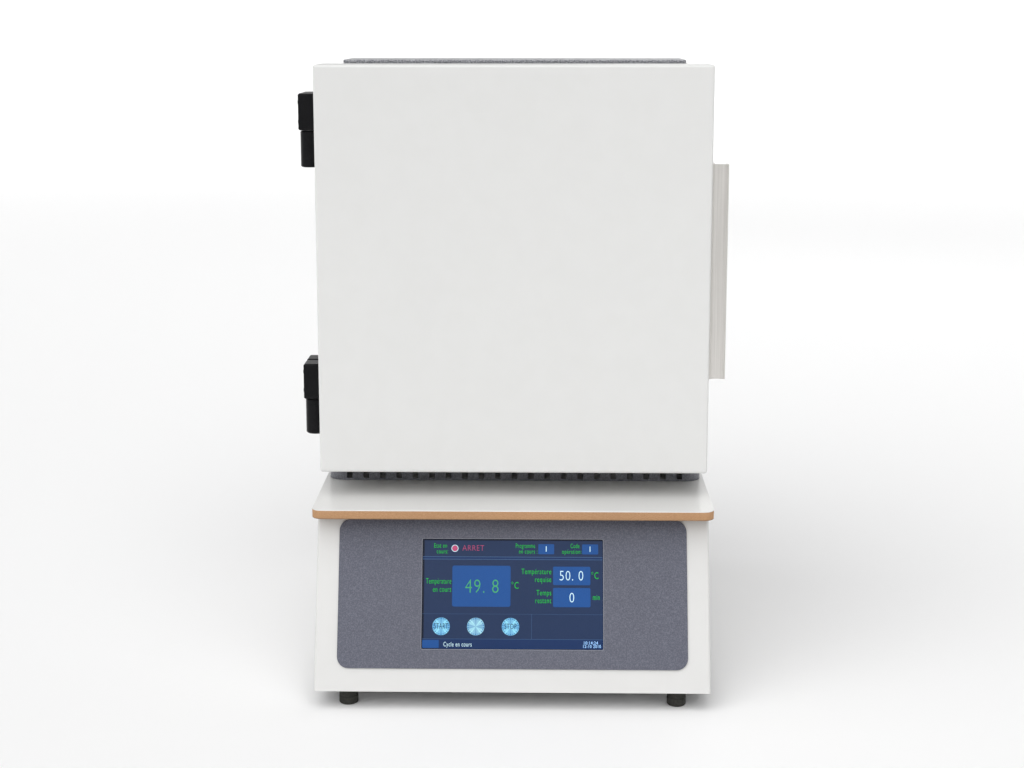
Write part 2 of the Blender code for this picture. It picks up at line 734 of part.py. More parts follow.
def casing_wrap(material, root):
    """Front and both sides of the casing in one bent sheet, with the throat, the vents and two slots."""
    outer = front_rounded(HALF_WIDTH, CASING_FRONT_Y, CASING_REAR_Y, CASING_CORNER_RADIUS)
    inner = front_rounded(
        HALF_WIDTH - SHEET, CASING_FRONT_Y + SHEET, CASING_REAR_Y + OVERRUN, CASING_CORNER_RADIUS - SHEET
    )
    wrap = add("casing_wrap", prism(outer, "Z", CASING_BOTTOM_Z, WRAP_TOP_Z), material, root)
    cut(wrap, prism(inner, "Z", CASING_BOTTOM_Z - OVERRUN, WRAP_TOP_Z + OVERRUN), root)
    front = CASING_FRONT_Y - OVERRUN
    rear = CASING_FRONT_Y + SHEET + OVERRUN
    half = CHAMBER_HALF + THROAT_REVEAL
    throat = box(
        (-half, front, CHAMBER_BOTTOM_Z - THROAT_REVEAL),
        (half, rear, CHAMBER_TOP_Z + THROAT_REVEAL),
    )
    slot_bottom = BOARD_TOP_Z + VENT_BOTTOM
    slots = [
        box((x - VENT_WIDTH / 2, front, slot_bottom), (x + VENT_WIDTH / 2, rear, slot_bottom + VENT_HEIGHT))
        for x in vent_places()
    ]
    grow = SEAT_GAP
    windows = [
        fitting_block(CATCH_HEIGHT, DOOR_MID_Z, front, rear, grow),
        fitting_block(SENSOR_HEIGHT, DOOR_TOP_Z - SENSOR_DROP, front, rear, grow),
    ]
    cut(wrap, gathered([throat] + slots + windows), root)


def casing_top(material, root):
    """Lid sheet of the casing, with the air slots under the vent cover."""
    outline = front_rounded(HALF_WIDTH, CASING_FRONT_Y, CASING_REAR_Y, CASING_CORNER_RADIUS)
    lid = add("casing_top", prism(outline, "Z", CASING_LID_Z, CASING_TOP_Z), material, root)
    near = CASING_FRONT_Y + TOP_VENT_SETBACK
    slots = [
        box(
            (x - VENT_WIDTH / 2, near, CASING_LID_Z - OVERRUN),
            (x + VENT_WIDTH / 2, near + TOP_VENT_LENGTH, CASING_TOP_Z + OVERRUN),
        )
        for x in vent_places()[1:-1]
    ]
    cut(lid, gathered(slots), root)


def top_vent_cover(material, root):
    """Raised hood over the air slots, open to the back."""
    half = VENT_COVER_WIDTH / 2
    bottom = CASING_TOP_Z + SEAT_GAP
    rear = CASING_FRONT_Y + VENT_COVER_DEPTH
    hood = add(
        "top_vent_cover", box((-half, CASING_FRONT_Y, bottom), (half, rear, VENT_COVER_TOP_Z)), material, root
    )
    inner = half - VENT_COVER_SHEET
    low = (-inner, CASING_FRONT_Y + VENT_COVER_SHEET, bottom - OVERRUN)
    cut(hood, box(low, (inner, rear + OVERRUN, VENT_COVER_TOP_Z - VENT_COVER_SHEET)), root)


def casing_floor(material, root):
    """Sheet under the insulation, with the holes for the leads."""
    inset = SHEET + SEAT_GAP
    outline = front_rounded(
        INNER_HALF, CASING_FRONT_Y + inset, REAR_PANEL_Y - SEAT_GAP, CASING_CORNER_RADIUS - inset
    )
    sheet = add("casing_floor", prism(outline, "Z", CASING_FLOOR_Z, CASING_FLOOR_Z + SHEET), material, root)
    cut(sheet, lead_holes(CASING_FLOOR_Z - OVERRUN, CASING_FLOOR_Z + SHEET + OVERRUN), root)


def casing_rear_panel(material, root):
    """Rear sheet of the casing. The space under the casing floor stays open behind."""
    low = (-INNER_HALF, REAR_PANEL_Y, CASING_FLOOR_Z)
    sheet = add("casing_rear_panel", box(low, (INNER_HALF, CASING_REAR_Y, WRAP_TOP_Z)), material, root)
    top = WRAP_TOP_Z - REAR_VENT_DROP
    slots = [
        box(
            (x - VENT_WIDTH / 2, REAR_PANEL_Y - OVERRUN, top - REAR_VENT_HEIGHT),
            (x + VENT_WIDTH / 2, CASING_REAR_Y + OVERRUN, top),
        )
        for x in vent_places()[::REAR_VENT_PITCHES]
    ]
    cut(sheet, gathered(slots), root)


def insulation(material, plate, root):
    """Five fibre slabs round the chamber and the hearth plate on the lowest."""
    front = INSULATION_FRONT_Y
    rear = INSULATION_REAR_Y
    floor_top = INSULATION_BOTTOM_Z + INSULATION_WALL
    low = (-INSULATION_HALF, front, INSULATION_BOTTOM_Z)
    add("insulation_floor", box(low, (INSULATION_HALF, rear, floor_top)), material, root)
    for side, x in (("left", -1), ("right", 1)):
        ends = sorted((x * CHAMBER_HALF, x * INSULATION_HALF))
        slab = box((ends[0], front, CHAMBER_BOTTOM_Z), (ends[1], rear, CHAMBER_TOP_Z))
        add(f"insulation_{side}", slab, material, root)
    half = CHAMBER_HALF - SEAT_GAP
    back = add(
        "insulation_rear",
        box((-half, CHAMBER_REAR_Y, CHAMBER_BOTTOM_Z), (half, rear, CHAMBER_TOP_Z)),
        material,
        root,
    )
    sheath_hole = THERMOCOUPLE_RADIUS + THERMOCOUPLE_CLEARANCE
    centre = (0.0, CHAMBER_MID_Z + THERMOCOUPLE_RISE)
    cut(back, rod("Y", centre, sheath_hole, CHAMBER_REAR_Y - OVERRUN, rear + OVERRUN, SMALL_SIDES), root)
    roof = add(
        "insulation_roof",
        box((-INSULATION_HALF, front, ROOF_BOTTOM_Z), (INSULATION_HALF, rear, ROOF_TOP_Z)),
        material,
        root,
    )
    radius = ELEMENT_COLD_RADIUS + ROOF_HOLE_CLEARANCE
    cut(roof, leg_holes(radius, ROOF_BOTTOM_Z - OVERRUN, ROOF_TOP_Z + OVERRUN), root)
    wide = CHAMBER_HALF - HEARTH_MARGIN
    low = (-wide, CHAMBER_FRONT_Y + HEARTH_MARGIN, CHAMBER_BOTTOM_Z)
    high = (wide, CHAMBER_REAR_Y - HEARTH_MARGIN, CHAMBER_BOTTOM_Z + HEARTH_THICKNESS)
    add("hearth_plate", box(low, high), plate, root)


def element_places():
    """Name, X and Y of each heating element's middle."""
    return [
        (f"heating_element_{side}_{row}", x * ELEMENT_X, CHAMBER_MID_Y + y * ELEMENT_SPREAD)
        for side, x in (("left", -1), ("right", 1))
        for row, y in (("front", -1), ("rear", 1))
    ]


def leg_holes(radius, bottom, top):
    """Round holes for both legs of every element."""
    return gathered(
        [
            rod("Z", (x, y + leg * ELEMENT_HALF_PITCH), radius, bottom, top, SMALL_SIDES)
            for _, x, y in element_places()
            for leg in (-1, 1)
        ]
    )


def heating_elements(material, root):
    """U-shaped rods: thin and hot in the chamber, thick and cold through the roof."""
    bend_z = CHAMBER_BOTTOM_Z + ELEMENT_FLOOR_CLEARANCE + ELEMENT_HALF_PITCH
    thick_z = CHAMBER_TOP_Z + ELEMENT_COLD_START
    thin_z = thick_z - ELEMENT_TAPER_LENGTH
    cold = ELEMENT_COLD_RADIUS
    hot = ELEMENT_HOT_RADIUS
    for name, x, y in element_places():
        near = y - ELEMENT_HALF_PITCH
        far = y + ELEMENT_HALF_PITCH
        down = [(near, ELEMENT_TOP_Z, cold), (near, thick_z, cold), (near, thin_z, hot)]
        bend = [
            (*point, hot)
            for point in arc((y, bend_z), ELEMENT_HALF_PITCH, math.pi, math.tau, ELEMENT_BEND_STEPS)
        ]
        up = [(far, height, radius) for _, height, radius in reversed(down)]
        stations = down + bend + up
        path = [Vector((x, depth, height)) for depth, height, _ in stations]
        radii = [radius for _, _, radius in stations]
        add(name, swept(path, radii), material, root, smooth=True)


def element_carrier(material, root):
    """Ceramic plate on the roof slab that the cold ends stand in."""
    ys = [y for _, _, y in element_places()]
    reach = ELEMENT_HALF_PITCH + CARRIER_MARGIN
    low = (-ELEMENT_X - CARRIER_MARGIN, min(ys) - reach, CARRIER_Z)
    high = (ELEMENT_X + CARRIER_MARGIN, max(ys) + reach, CARRIER_Z + CARRIER_THICKNESS)
    carrier = add("element_carrier", box(low, high), material, root)
    radius = ELEMENT_COLD_RADIUS + CARRIER_CLEARANCE
    cut(carrier, leg_holes(radius, CARRIER_Z - OVERRUN, CARRIER_Z + CARRIER_THICKNESS + OVERRUN), root)


def clamp(x, y):
    """Clamp block round one cold end, before its hole is cut."""
    low = (x - CLAMP_HALF, y - CLAMP_HALF, CLAMP_Z)
    return box(low, (x + CLAMP_HALF, y + CLAMP_HALF, CLAMP_Z + CLAMP_HEIGHT))


def clamp_hole(x, y):
    radius = ELEMENT_COLD_RADIUS + CARRIER_CLEARANCE
    return rod("Z", (x, y), radius, CLAMP_Z - OVERRUN, CLAMP_Z + CLAMP_HEIGHT + OVERRUN, SMALL_SIDES)


def strap_band(start, end, rise):
    """Outline of an arched band between two clamps: half an ellipse of even thickness."""
    middle = (start + end) / 2
    half = (end - start) / 2
    base = CLAMP_Z + CLAMP_HEIGHT / 2
    outer = arc((0.0, 0.0), 1.0, math.pi, 0.0, STRAP_ARC_STEPS)
    top = [(middle + half * u, base + STRAP_THICKNESS + rise * v) for u, v in outer]
    under = [(middle + half * u, base + rise * v) for u, v in reversed(outer)]
    return top + under


def straps(material, root):
    """Clamped bands that join the elements in one line: left pair, right pair and across the front."""
    ys = sorted({y for _, _, y in element_places()})
    inner_front = ys[0] + ELEMENT_HALF_PITCH
    inner_rear = ys[1] - ELEMENT_HALF_PITCH
    band_half = STRAP_WIDTH / 2
    reach = CLAMP_HALF - STRAP_OVERLAP
    for side, sign in (("left", -1), ("right", 1)):
        x = sign * ELEMENT_X
        outline = strap_band(inner_front + reach, inner_rear - reach, STRAP_SIDE_ARCH)
        band = prism(outline, "X", x - band_half, x + band_half)
        strap = add(f"element_strap_{side}", band, material, root)
        join(strap, gathered([clamp(x, inner_front), clamp(x, inner_rear)]), root)
        cut(strap, gathered([clamp_hole(x, inner_front), clamp_hole(x, inner_rear)]), root)
    y = ys[0] - ELEMENT_HALF_PITCH
    outline = strap_band(-ELEMENT_X + reach, ELEMENT_X - reach, STRAP_CROSS_ARCH)
    strap = add("element_strap_cross", prism(outline, "Y", y - band_half, y + band_half), material, root)
    join(strap, gathered([clamp(-ELEMENT_X, y), clamp(ELEMENT_X, y)]), root)
    cut(strap, gathered([clamp_hole(-ELEMENT_X, y), clamp_hole(ELEMENT_X, y)]), root)


def power_leads(material, root):
    """Thick leads from the rear cold ends down behind the insulation to the transformer."""
    start_y = CHAMBER_MID_Y + ELEMENT_SPREAD + ELEMENT_HALF_PITCH
    run_z = CLAMP_Z + CLAMP_HEIGHT / 2
    bend_centre = (LEAD_Y - LEAD_BEND_RADIUS, run_z - LEAD_BEND_RADIUS)
    bend = arc(bend_centre, LEAD_BEND_RADIUS, math.pi / 2, 0.0, LEAD_BEND_STEPS)
    route = [(start_y + CLAMP_HALF - STRAP_OVERLAP, run_z)] + bend + [(LEAD_Y, LEAD_END_Z)]
    for side, sign in (("left", -1), ("right", 1)):
        x = sign * ELEMENT_X
        path = [Vector((x, y, z)) for y, z in route]
        lead = add(f"power_lead_{side}", swept(path, [LEAD_RADIUS] * len(path)), material, root, smooth=True)
        join(lead, clamp(x, start_y), root)
        lug = rod("Z", (x, LEAD_Y), LUG_RADIUS, LEAD_END_Z, LEAD_END_Z + LUG_HEIGHT, SMALL_SIDES)
        join(lead, lug, root)
        cut(lead, clamp_hole(x, start_y), root)


def thermocouple(material, root):
    """Sheath through the rear slab with its connection head behind."""
    centre = (0.0, CHAMBER_MID_Z + THERMOCOUPLE_RISE)
    head_y = INSULATION_REAR_Y + SEAT_GAP
    head = rod("Y", centre, THERMOCOUPLE_HEAD_RADIUS, head_y, head_y + THERMOCOUPLE_HEAD_DEPTH)
    sensor = add("thermocouple", head, material, root, smooth=True)
    tip = CHAMBER_REAR_Y - THERMOCOUPLE_REACH
    join(sensor, rod("Y", centre, THERMOCOUPLE_RADIUS, tip, head_y + OVERRUN, SMALL_SIDES), root)


def fitting_block(height, middle, front, rear, grow=0.0):
    """Upright block in line with the catch and the door sensor."""
    half = CATCH_WIDTH / 2 + grow
    tall = height / 2 + grow
    return box((CATCH_X - half, front, middle - tall), (CATCH_X + half, rear, middle + tall))


def catch_and_sensor(dark, steel, root, door):
    """Catch magnet and door sensor in the casing's front, and what they meet on the door."""
    face = CASING_FRONT_Y - CATCH_PROUD
    back = face + CATCH_DEPTH
    flange_front = INSULATION_FRONT_Y
    flange_rear = flange_front + CATCH_FLANGE_THICKNESS
    strike_front = DOOR_DEPTH + SEAT_GAP
    strike_rear = strike_front + STRIKE_THICKNESS
    for name, height, middle in (
        ("catch_magnet", CATCH_HEIGHT, DOOR_MID_Z),
        ("door_sensor", SENSOR_HEIGHT, DOOR_TOP_Z - SENSOR_DROP),
    ):
        body = add(name, fitting_block(height, middle, face, back), dark, root)
        tall = height + 2 * CATCH_FLANGE
        join(body, fitting_block(tall, middle, flange_front, flange_rear), root)
    for name, height, middle, material in (
        ("strike_plate", CATCH_HEIGHT, DOOR_MID_Z, steel),
        ("door_sensor_magnet", SENSOR_HEIGHT, DOOR_TOP_Z - SENSOR_DROP, dark),
    ):
        tall = height + 2 * STRIKE_MARGIN
        add(name, fitting_block(tall, middle, strike_front, strike_rear), material, door)


def plug_section(clearance):
    """Low and high X, Z corners of the plug's section at a clearance from the throat."""
    half = CHAMBER_HALF - clearance
    return (-half, CHAMBER_BOTTOM_Z + clearance), (half, CHAMBER_TOP_Z - clearance)


def door_panels(white, steel, fibre, rope, door):
    """Folded door pan, its back plate, the insulation with its plug, and the seal round the plug."""
    low = (-HALF_WIDTH, 0.0, DOOR_BOTTOM_Z)
    pan = add("door_shell", box(low, (HALF_WIDTH, DOOR_DEPTH, DOOR_TOP_Z)), white, door)
    inner = (-HALF_WIDTH + SHEET, SHEET, DOOR_BOTTOM_Z + SHEET)
    cut(pan, box(inner, (HALF_WIDTH - SHEET, DOOR_DEPTH + OVERRUN, DOOR_TOP_Z - SHEET)), door)
    inset = SHEET + SEAT_GAP
    back_front = DOOR_DEPTH - SHEET
    plug_low, plug_high = plug_section(DOOR_PLUG_CLEARANCE)
    grow = PLUG_HOLE_CLEARANCE
    plate = add(
        "door_back_plate",
        box(
            (-HALF_WIDTH + inset, back_front, DOOR_BOTTOM_Z + inset),
            (HALF_WIDTH - inset, DOOR_DEPTH, DOOR_TOP_Z - inset),
        ),
        steel,
        door,
    )
    hole = box(
        (plug_low[0] - grow, back_front - OVERRUN, plug_low[1] - grow),
        (plug_high[0] + grow, DOOR_DEPTH + OVERRUN, plug_high[1] + grow),
    )
    cut(plate, hole, door)
    filling = add(
        "door_insulation",
        box(
            (-HALF_WIDTH + inset, inset, DOOR_BOTTOM_Z + inset),
            (HALF_WIDTH - inset, back_front - SEAT_GAP, DOOR_TOP_Z - inset),
        ),
        fibre,
        door,
    )
    plug_end = INSULATION_FRONT_Y + DOOR_PLUG_SHARE * THROAT_DEPTH
    plug = tapered_block(
        (plug_low[0], back_front - OVERRUN, plug_low[1]),
        (plug_high[0], plug_end, plug_high[1]),
        "Y",
        DOOR_PLUG_TAPER,
    )
    join(filling, plug, door)
    near = DOOR_DEPTH + SEAT_GAP
    far = CASING_FRONT_Y - SEAT_GAP
    inner_grow = SEAL_INSET
    outer_grow = SEAL_INSET + SEAL_WIDTH
    seal = add(
        "door_seal",
        box(
            (plug_low[0] - outer_grow, near, plug_low[1] - outer_grow),
            (plug_high[0] + outer_grow, far, plug_high[1] + outer_grow),
        ),
        rope,
        door,
    )
    hole = box(
        (plug_low[0] - inner_grow, near - OVERRUN, plug_low[1] - inner_grow),
        (plug_high[0] + inner_grow, far + OVERRUN, plug_high[1] + inner_grow),
    )
    cut(seal, hole, door)


def hollow_arc(start, end, depth, dip):
    """A shallow arc from start to end in X at a depth, dipping to the back in its middle."""
    half = (end - start) / 2
    radius = (half * half + dip * dip) / (2 * dip)
    angle = math.asin(half / radius)
    centre = ((start + end) / 2, depth + dip - radius)
    return arc(centre, radius, math.pi / 2 + angle, math.pi / 2 - angle, HANDLE_ARC_STEPS)


def door_handle(material, door):
    """Extruded grip profile: a flange on the door's side, a hollowed front and a lip for the fingers."""
    inner = HALF_WIDTH + SEAT_GAP
    outer = inner + HANDLE_REACH
    front = HANDLE_FRONT_SETBACK
    web_back = front + HANDLE_WEB
    face = hollow_arc(inner, outer, front, HANDLE_HOLLOW)
    throat = hollow_arc(
        inner + HANDLE_FLANGE_THICKNESS, outer - HANDLE_LIP_THICKNESS, web_back, HANDLE_HOLLOW
    )
    lip_end = front + HANDLE_LIP_DEPTH
    flange_end = front + HANDLE_FLANGE_DEPTH
    outline = face + [(outer, lip_end), (outer - HANDLE_LIP_THICKNESS, lip_end)]
    outline += throat[::-1] + [(inner + HANDLE_FLANGE_THICKNESS, flange_end), (inner, flange_end)]
    half = HANDLE_LENGTH / 2
    add("door_handle", prism(outline, "Z", DOOR_MID_Z - half, DOOR_MID_Z + half), material, door, smooth=True)


def chamfered_column(outline_at, bottom, top):
    """A column with a chamfer at both ends, from a function that gives its outline at an inset."""
    low = bottom + HINGE_CHAMFER
    high = top - HINGE_CHAMFER
    heights = [(bottom, HINGE_CHAMFER), (low, 0.0), (high, 0.0), (top, HINGE_CHAMFER)]
    shape = bmesh.new()
    rings = [[shape.verts.new((x, y, z)) for x, y in outline_at(inset)] for z, inset in heights]
    for first, second in zip(rings, rings[1:]):
        for step in range(len(first)):
            after = (step + 1) % len(first)
            shape.faces.new((first[step], first[after], second[after], second[step]))
    shape.faces.new(rings[0][::-1])
    shape.faces.new(rings[-1])
    bmesh.ops.recalc_face_normals(shape, faces=shape.faces)
    return shape


def hinge(name, middle, leaf_material, pin_material, root, door):
    """One lift-off hinge: door leaf above, body leaf with the lower knuckle, and the pin."""
    outer = -(HALF_WIDTH + HINGE_REACH)
    inner = -(HALF_WIDTH + SEAT_GAP)
    top = middle + HINGE_HEIGHT / 2
    bottom = middle - HINGE_HEIGHT / 2
    split = HINGE_SPLIT_GAP / 2
    front = HINGE_Y - HINGE_LEAF_FRONT
    rear = HINGE_Y + HINGE_LEAF_REAR
    hole_radius = HINGE_PIN_RADIUS + HINGE_PIN_CLEARANCE
    chamfer_rear = HINGE_CHAMFER * 2

    def leaf_outline(inset):
        return [
            (inner, front + inset),
            (inner, rear - inset),
            (outer + chamfer_rear, rear - inset),
            (outer + inset, rear - chamfer_rear),
            (outer + inset, front + inset),
        ]

    leaf = add(
        f"{name}_door_leaf", chamfered_column(leaf_outline, middle + split, top), leaf_material, door
    )
    pin_top = top - HINGE_PIN_END_WALL
    cut(leaf, rod("Z", (HINGE_X, HINGE_Y), hole_radius, middle - OVERRUN, pin_top + SEAT_GAP), door)

    knuckle_radius = HINGE_AXIS_OUT - HINGE_KNUCKLE_CLEARANCE
    body_front = DOOR_DEPTH + DOOR_GAP + HINGE_BODY_LEAF_AHEAD

    def knuckle_outline(inset):
        return circle((HINGE_X, HINGE_Y), knuckle_radius - inset, ROUND_SIDES)

    def body_outline(inset):
        far = body_front + HINGE_BODY_LEAF_DEPTH
        return [
            (inner, body_front),
            (inner, far - inset),
            (outer + inset, far - inset),
            (outer + inset, body_front),
        ]

    body = add(f"{name}_body_leaf", chamfered_column(body_outline, bottom, top), leaf_material, root)
    join(body, chamfered_column(knuckle_outline, bottom, middle - split), root)
    arm_inner = HINGE_X + knuckle_radius - HINGE_ARM_CLEARANCE
    arm_outer = HINGE_X - knuckle_radius + HINGE_ARM_CLEARANCE
    arm_low = (arm_outer, HINGE_Y, bottom + HINGE_CHAMFER)
    arm_high = (arm_inner, body_front + OVERRUN, middle - split - HINGE_CHAMFER)
    join(body, box(arm_low, arm_high), root)
    pin_bottom = bottom + HINGE_PIN_END_WALL
    cut(body, rod("Z", (HINGE_X, HINGE_Y), hole_radius, pin_bottom - SEAT_GAP, middle + OVERRUN), root)
    pin = rod("Z", (HINGE_X, HINGE_Y), HINGE_PIN_RADIUS, pin_bottom, pin_top)
    add(f"{name}_pin", pin, pin_material, root, smooth=True)


def transformer(iron, winding, root):
    """Laminated three-limb core with the coil on its middle limb and a terminal board behind."""
    half = CORE_WIDTH / 2
    stack = CORE_STACK / 2
    bottom = FLOOR_PIECE_Z
    top = bottom + CORE_HEIGHT
    side_limb = CORE_LIMB / 2
    core = add(
        "transformer_core",
        box((-half, CORE_MID_Y - stack, bottom), (half, CORE_MID_Y + stack, top)),
        iron,
        root,
    )
    near = CORE_MID_Y - stack
    far = CORE_MID_Y + stack
    windows = []
    for sign in (-1, 1):
        ends = sorted((sign * side_limb, sign * (half - side_limb)))
        low = (ends[0], near - OVERRUN, bottom + side_limb)
        windows.append(box(low, (ends[1], far + OVERRUN, top - side_limb)))
    cut(core, gathered(windows), root)
    low = (-COIL_HALF, near - COIL_OVERHANG, COIL_BOTTOM_Z)
    coil = add("transformer_coil", box(low, (COIL_HALF, far + COIL_OVERHANG, COIL_TOP_Z)), winding, root)
    room = COIL_CLEARANCE
    bore_low = (-side_limb - room, near - room, COIL_BOTTOM_Z - OVERRUN)
    cut(coil, box(bore_low, (side_limb + room, far + room, COIL_TOP_Z + OVERRUN)), root)
    wide = ELEMENT_X + TERMINAL_BOARD_MARGIN
    low = (-wide, far + room + SEAT_GAP, COIL_TOP_Z - SHEET)
    high = (wide, far + TERMINAL_BOARD_DEPTH, COIL_TOP_Z + TERMINAL_BOARD_THICKNESS)
    join(coil, box(low, high), root)


def power_controller(material, root):
    """Finned heat sink with the power module on it, on the base floor."""
    left = -INNER_HALF + ELECTRONICS_WALL_MARGIN
    bottom = FLOOR_PIECE_Z
    far = REAR_PANEL_Y - ELECTRONICS_REAR_MARGIN
    near = far - SINK_LENGTH
    pitch = (SINK_WIDTH - SINK_FIN_THICKNESS) / (SINK_FINS - 1)
    outline = [(left, bottom), (left + SINK_WIDTH, bottom)]
    for number in reversed(range(SINK_FINS)):
        edge = left + number * pitch
        outline += [(edge + SINK_FIN_THICKNESS, bottom + SINK_BASE)] * (number < SINK_FINS - 1)
        outline += [(edge + SINK_FIN_THICKNESS, bottom + SINK_HEIGHT), (edge, bottom + SINK_HEIGHT)]
        outline += [(edge, bottom + SINK_BASE)] * (number > 0)
    sink = add("power_controller", prism(outline, "Y", near, far), material, root)
    low = (left, near - SINK_MODULE_LENGTH, bottom)
    join(sink, box(low, (left + SINK_WIDTH, near + OVERRUN, bottom + SINK_MODULE_HEIGHT)), root)


def power_supply(material, root):
    """Low-voltage supply with a stepped terminal end, on the base floor."""
    right = INNER_HALF - ELECTRONICS_WALL_MARGIN
    bottom = FLOOR_PIECE_Z
    far = REAR_PANEL_Y - ELECTRONICS_REAR_MARGIN
    near = far - SUPPLY_LENGTH
    outline = [
        (near, bottom),
        (far, bottom),
        (far, bottom + SUPPLY_HEIGHT),
        (near + SUPPLY_STEP_LENGTH, bottom + SUPPLY_HEIGHT),
        (near + SUPPLY_STEP_LENGTH, bottom + SUPPLY_STEP_HEIGHT),
        (near, bottom + SUPPLY_STEP_HEIGHT),
    ]
    add("power_supply", prism(outline, "X", right - SUPPLY_WIDTH, right), material, root)


def ring_sector(inner, outer, start, end, near, far):
    """Part of a flat ring round the fan's axis, between two angles."""
    centre = (FAN_X, FITTINGS_Z)
    outline = arc(centre, outer, start, end, CORNER_STEPS) + arc(centre, inner, end, start, CORNER_STEPS)
    return prism(outline, "Y", near, far)


def cooling_fan(plastic, steel, root, fan):
    """Axial fan behind the rear panel, its bladed rotor and the pressed guard outside."""
    half = FAN_SIZE / 2
    low = (FAN_X - half, FAN_FRONT_Y, FITTINGS_Z - half)
    frame = add("fan_frame", box(low, (FAN_X + half, FAN_REAR_Y, FITTINGS_Z + half)), plastic, root)
    centre = (FAN_X, FITTINGS_Z)
    cut(frame, rod("Y", centre, FAN_BORE_RADIUS, FAN_FRONT_Y - OVERRUN, FAN_REAR_Y + OVERRUN), root)
    hub_end = FAN_FRONT_Y + FAN_HUB_DEPTH
    join(frame, rod("Y", centre, FAN_HUB_RADIUS, FAN_FRONT_Y, hub_end), root)
    thin = FAN_STRUT_WIDTH / 2
    strut_end = FAN_FRONT_Y + FAN_STRUT_DEPTH
    reach = (half + FAN_BORE_RADIUS) / 2
    for wide, tall in ((reach, thin), (thin, reach)):
        low = (FAN_X - wide, FAN_FRONT_Y, FITTINGS_Z - tall)
        join(frame, box(low, (FAN_X + wide, strut_end, FITTINGS_Z + tall)), root)

    rotor_near = hub_end + FAN_AXIAL_CLEARANCE
    rotor_far = FAN_REAR_Y - FAN_ROTOR_SETBACK
    hub = rod("Y", centre, FAN_HUB_RADIUS, rotor_near, rotor_far)
    rotor = add("fan_rotor", hub, plastic, fan, smooth=True)
    depth = rotor_far - rotor_near
    chord = FAN_BLADE_CHORD_SHARE * depth
    middle = Vector((FAN_X, (rotor_near + rotor_far) / 2, FITTINGS_Z))
    blades = []
    for number in range(FAN_BLADES):
        blade = box(
            (FAN_HUB_RADIUS - FAN_BLADE_ROOT_OVERLAP, -chord / 2, -FAN_BLADE_THICKNESS / 2),
            (FAN_BORE_RADIUS - FAN_BLADE_TIP_CLEARANCE, chord / 2, FAN_BLADE_THICKNESS / 2),
        )
        turn = Matrix.Rotation(math.tau * number / FAN_BLADES, 4, "Y")
        pitch = Matrix.Rotation(FAN_BLADE_PITCH, 4, "X")
        bmesh.ops.transform(blade, matrix=Matrix.Translation(middle) @ turn @ pitch, verts=blade.verts)
        blades.append(blade)
    join(rotor, gathered(blades), fan)

    near = FITTING_FACE_Y
    far = near + GUARD_THICKNESS
    low = (FAN_X - half, FITTINGS_Z - half)
    outline = rounded_rectangle(low, (FAN_X + half, FITTINGS_Z + half), GUARD_CORNER_RADIUS)
    guard = add("fan_guard", prism(outline, "Y", near, far), steel, root)
    innermost = FAN_HUB_RADIUS / 2
    pitch = (FAN_BORE_RADIUS - innermost) / GUARD_RINGS
    slots = []
    for ring in range(GUARD_RINGS):
        inner = innermost + ring * pitch
        outer = inner + pitch - GUARD_BAR
        gap = GUARD_BAR / inner
        for quarter in range(4):
            start = quarter * math.pi / 2 + gap / 2
            end = (quarter + 1) * math.pi / 2 - gap / 2
            slots.append(ring_sector(inner, outer, start, end, near - OVERRUN, far + OVERRUN))
    cut(guard, gathered(slots), root)


def mains_inlet(material, root):
    """Appliance inlet with a deep recess and three flat pins."""
    x = INLET_X
    half = INLET_WIDTH / 2
    tall = INLET_HEIGHT / 2
    front = FITTING_FACE_Y + INLET_FLANGE_THICKNESS - INLET_DEPTH
    rear = FITTING_FACE_Y + INLET_FLANGE_THICKNESS
    case = box((x - half, front, FITTINGS_Z - tall), (x + half, rear, FITTINGS_Z + tall))
    body = add("mains_inlet", case, material, root)
    wide = half + INLET_FLANGE
    high = tall + INLET_FLANGE
    flange = box((x - wide, FITTING_FACE_Y, FITTINGS_Z - high), (x + wide, rear, FITTINGS_Z + high))
    join(body, flange, root)
    room = half - INLET_WALL
    rise = tall - INLET_WALL
    top = FITTINGS_Z + rise
    outline = [
        (x - room, FITTINGS_Z - rise),
        (x + room, FITTINGS_Z - rise),
        (x + room, top - INLET_CHAMFER),
        (x + room - INLET_CHAMFER, top),
        (x - room + INLET_CHAMFER, top),
        (x - room, top - INLET_CHAMFER),
    ]
    bottom_y = rear - INLET_RECESS_DEPTH
    cut(body, prism(outline, "Y", bottom_y, rear + OVERRUN), root)
    lower = -PIN_ROW_OFFSET
    places = ((-PIN_HALF_PITCH, lower), (PIN_HALF_PITCH, lower), (0.0, PIN_ROW_OFFSET))
    pins = [
        box(
            (x + across - PIN_WIDTH / 2, bottom_y - INLET_WALL, FITTINGS_Z + up - PIN_THICKNESS / 2),
            (x + across + PIN_WIDTH / 2, bottom_y + PIN_LENGTH, FITTINGS_Z + up + PIN_THICKNESS / 2),
        )
        for across, up in places
    ]
    join(body, gathered(pins), root)


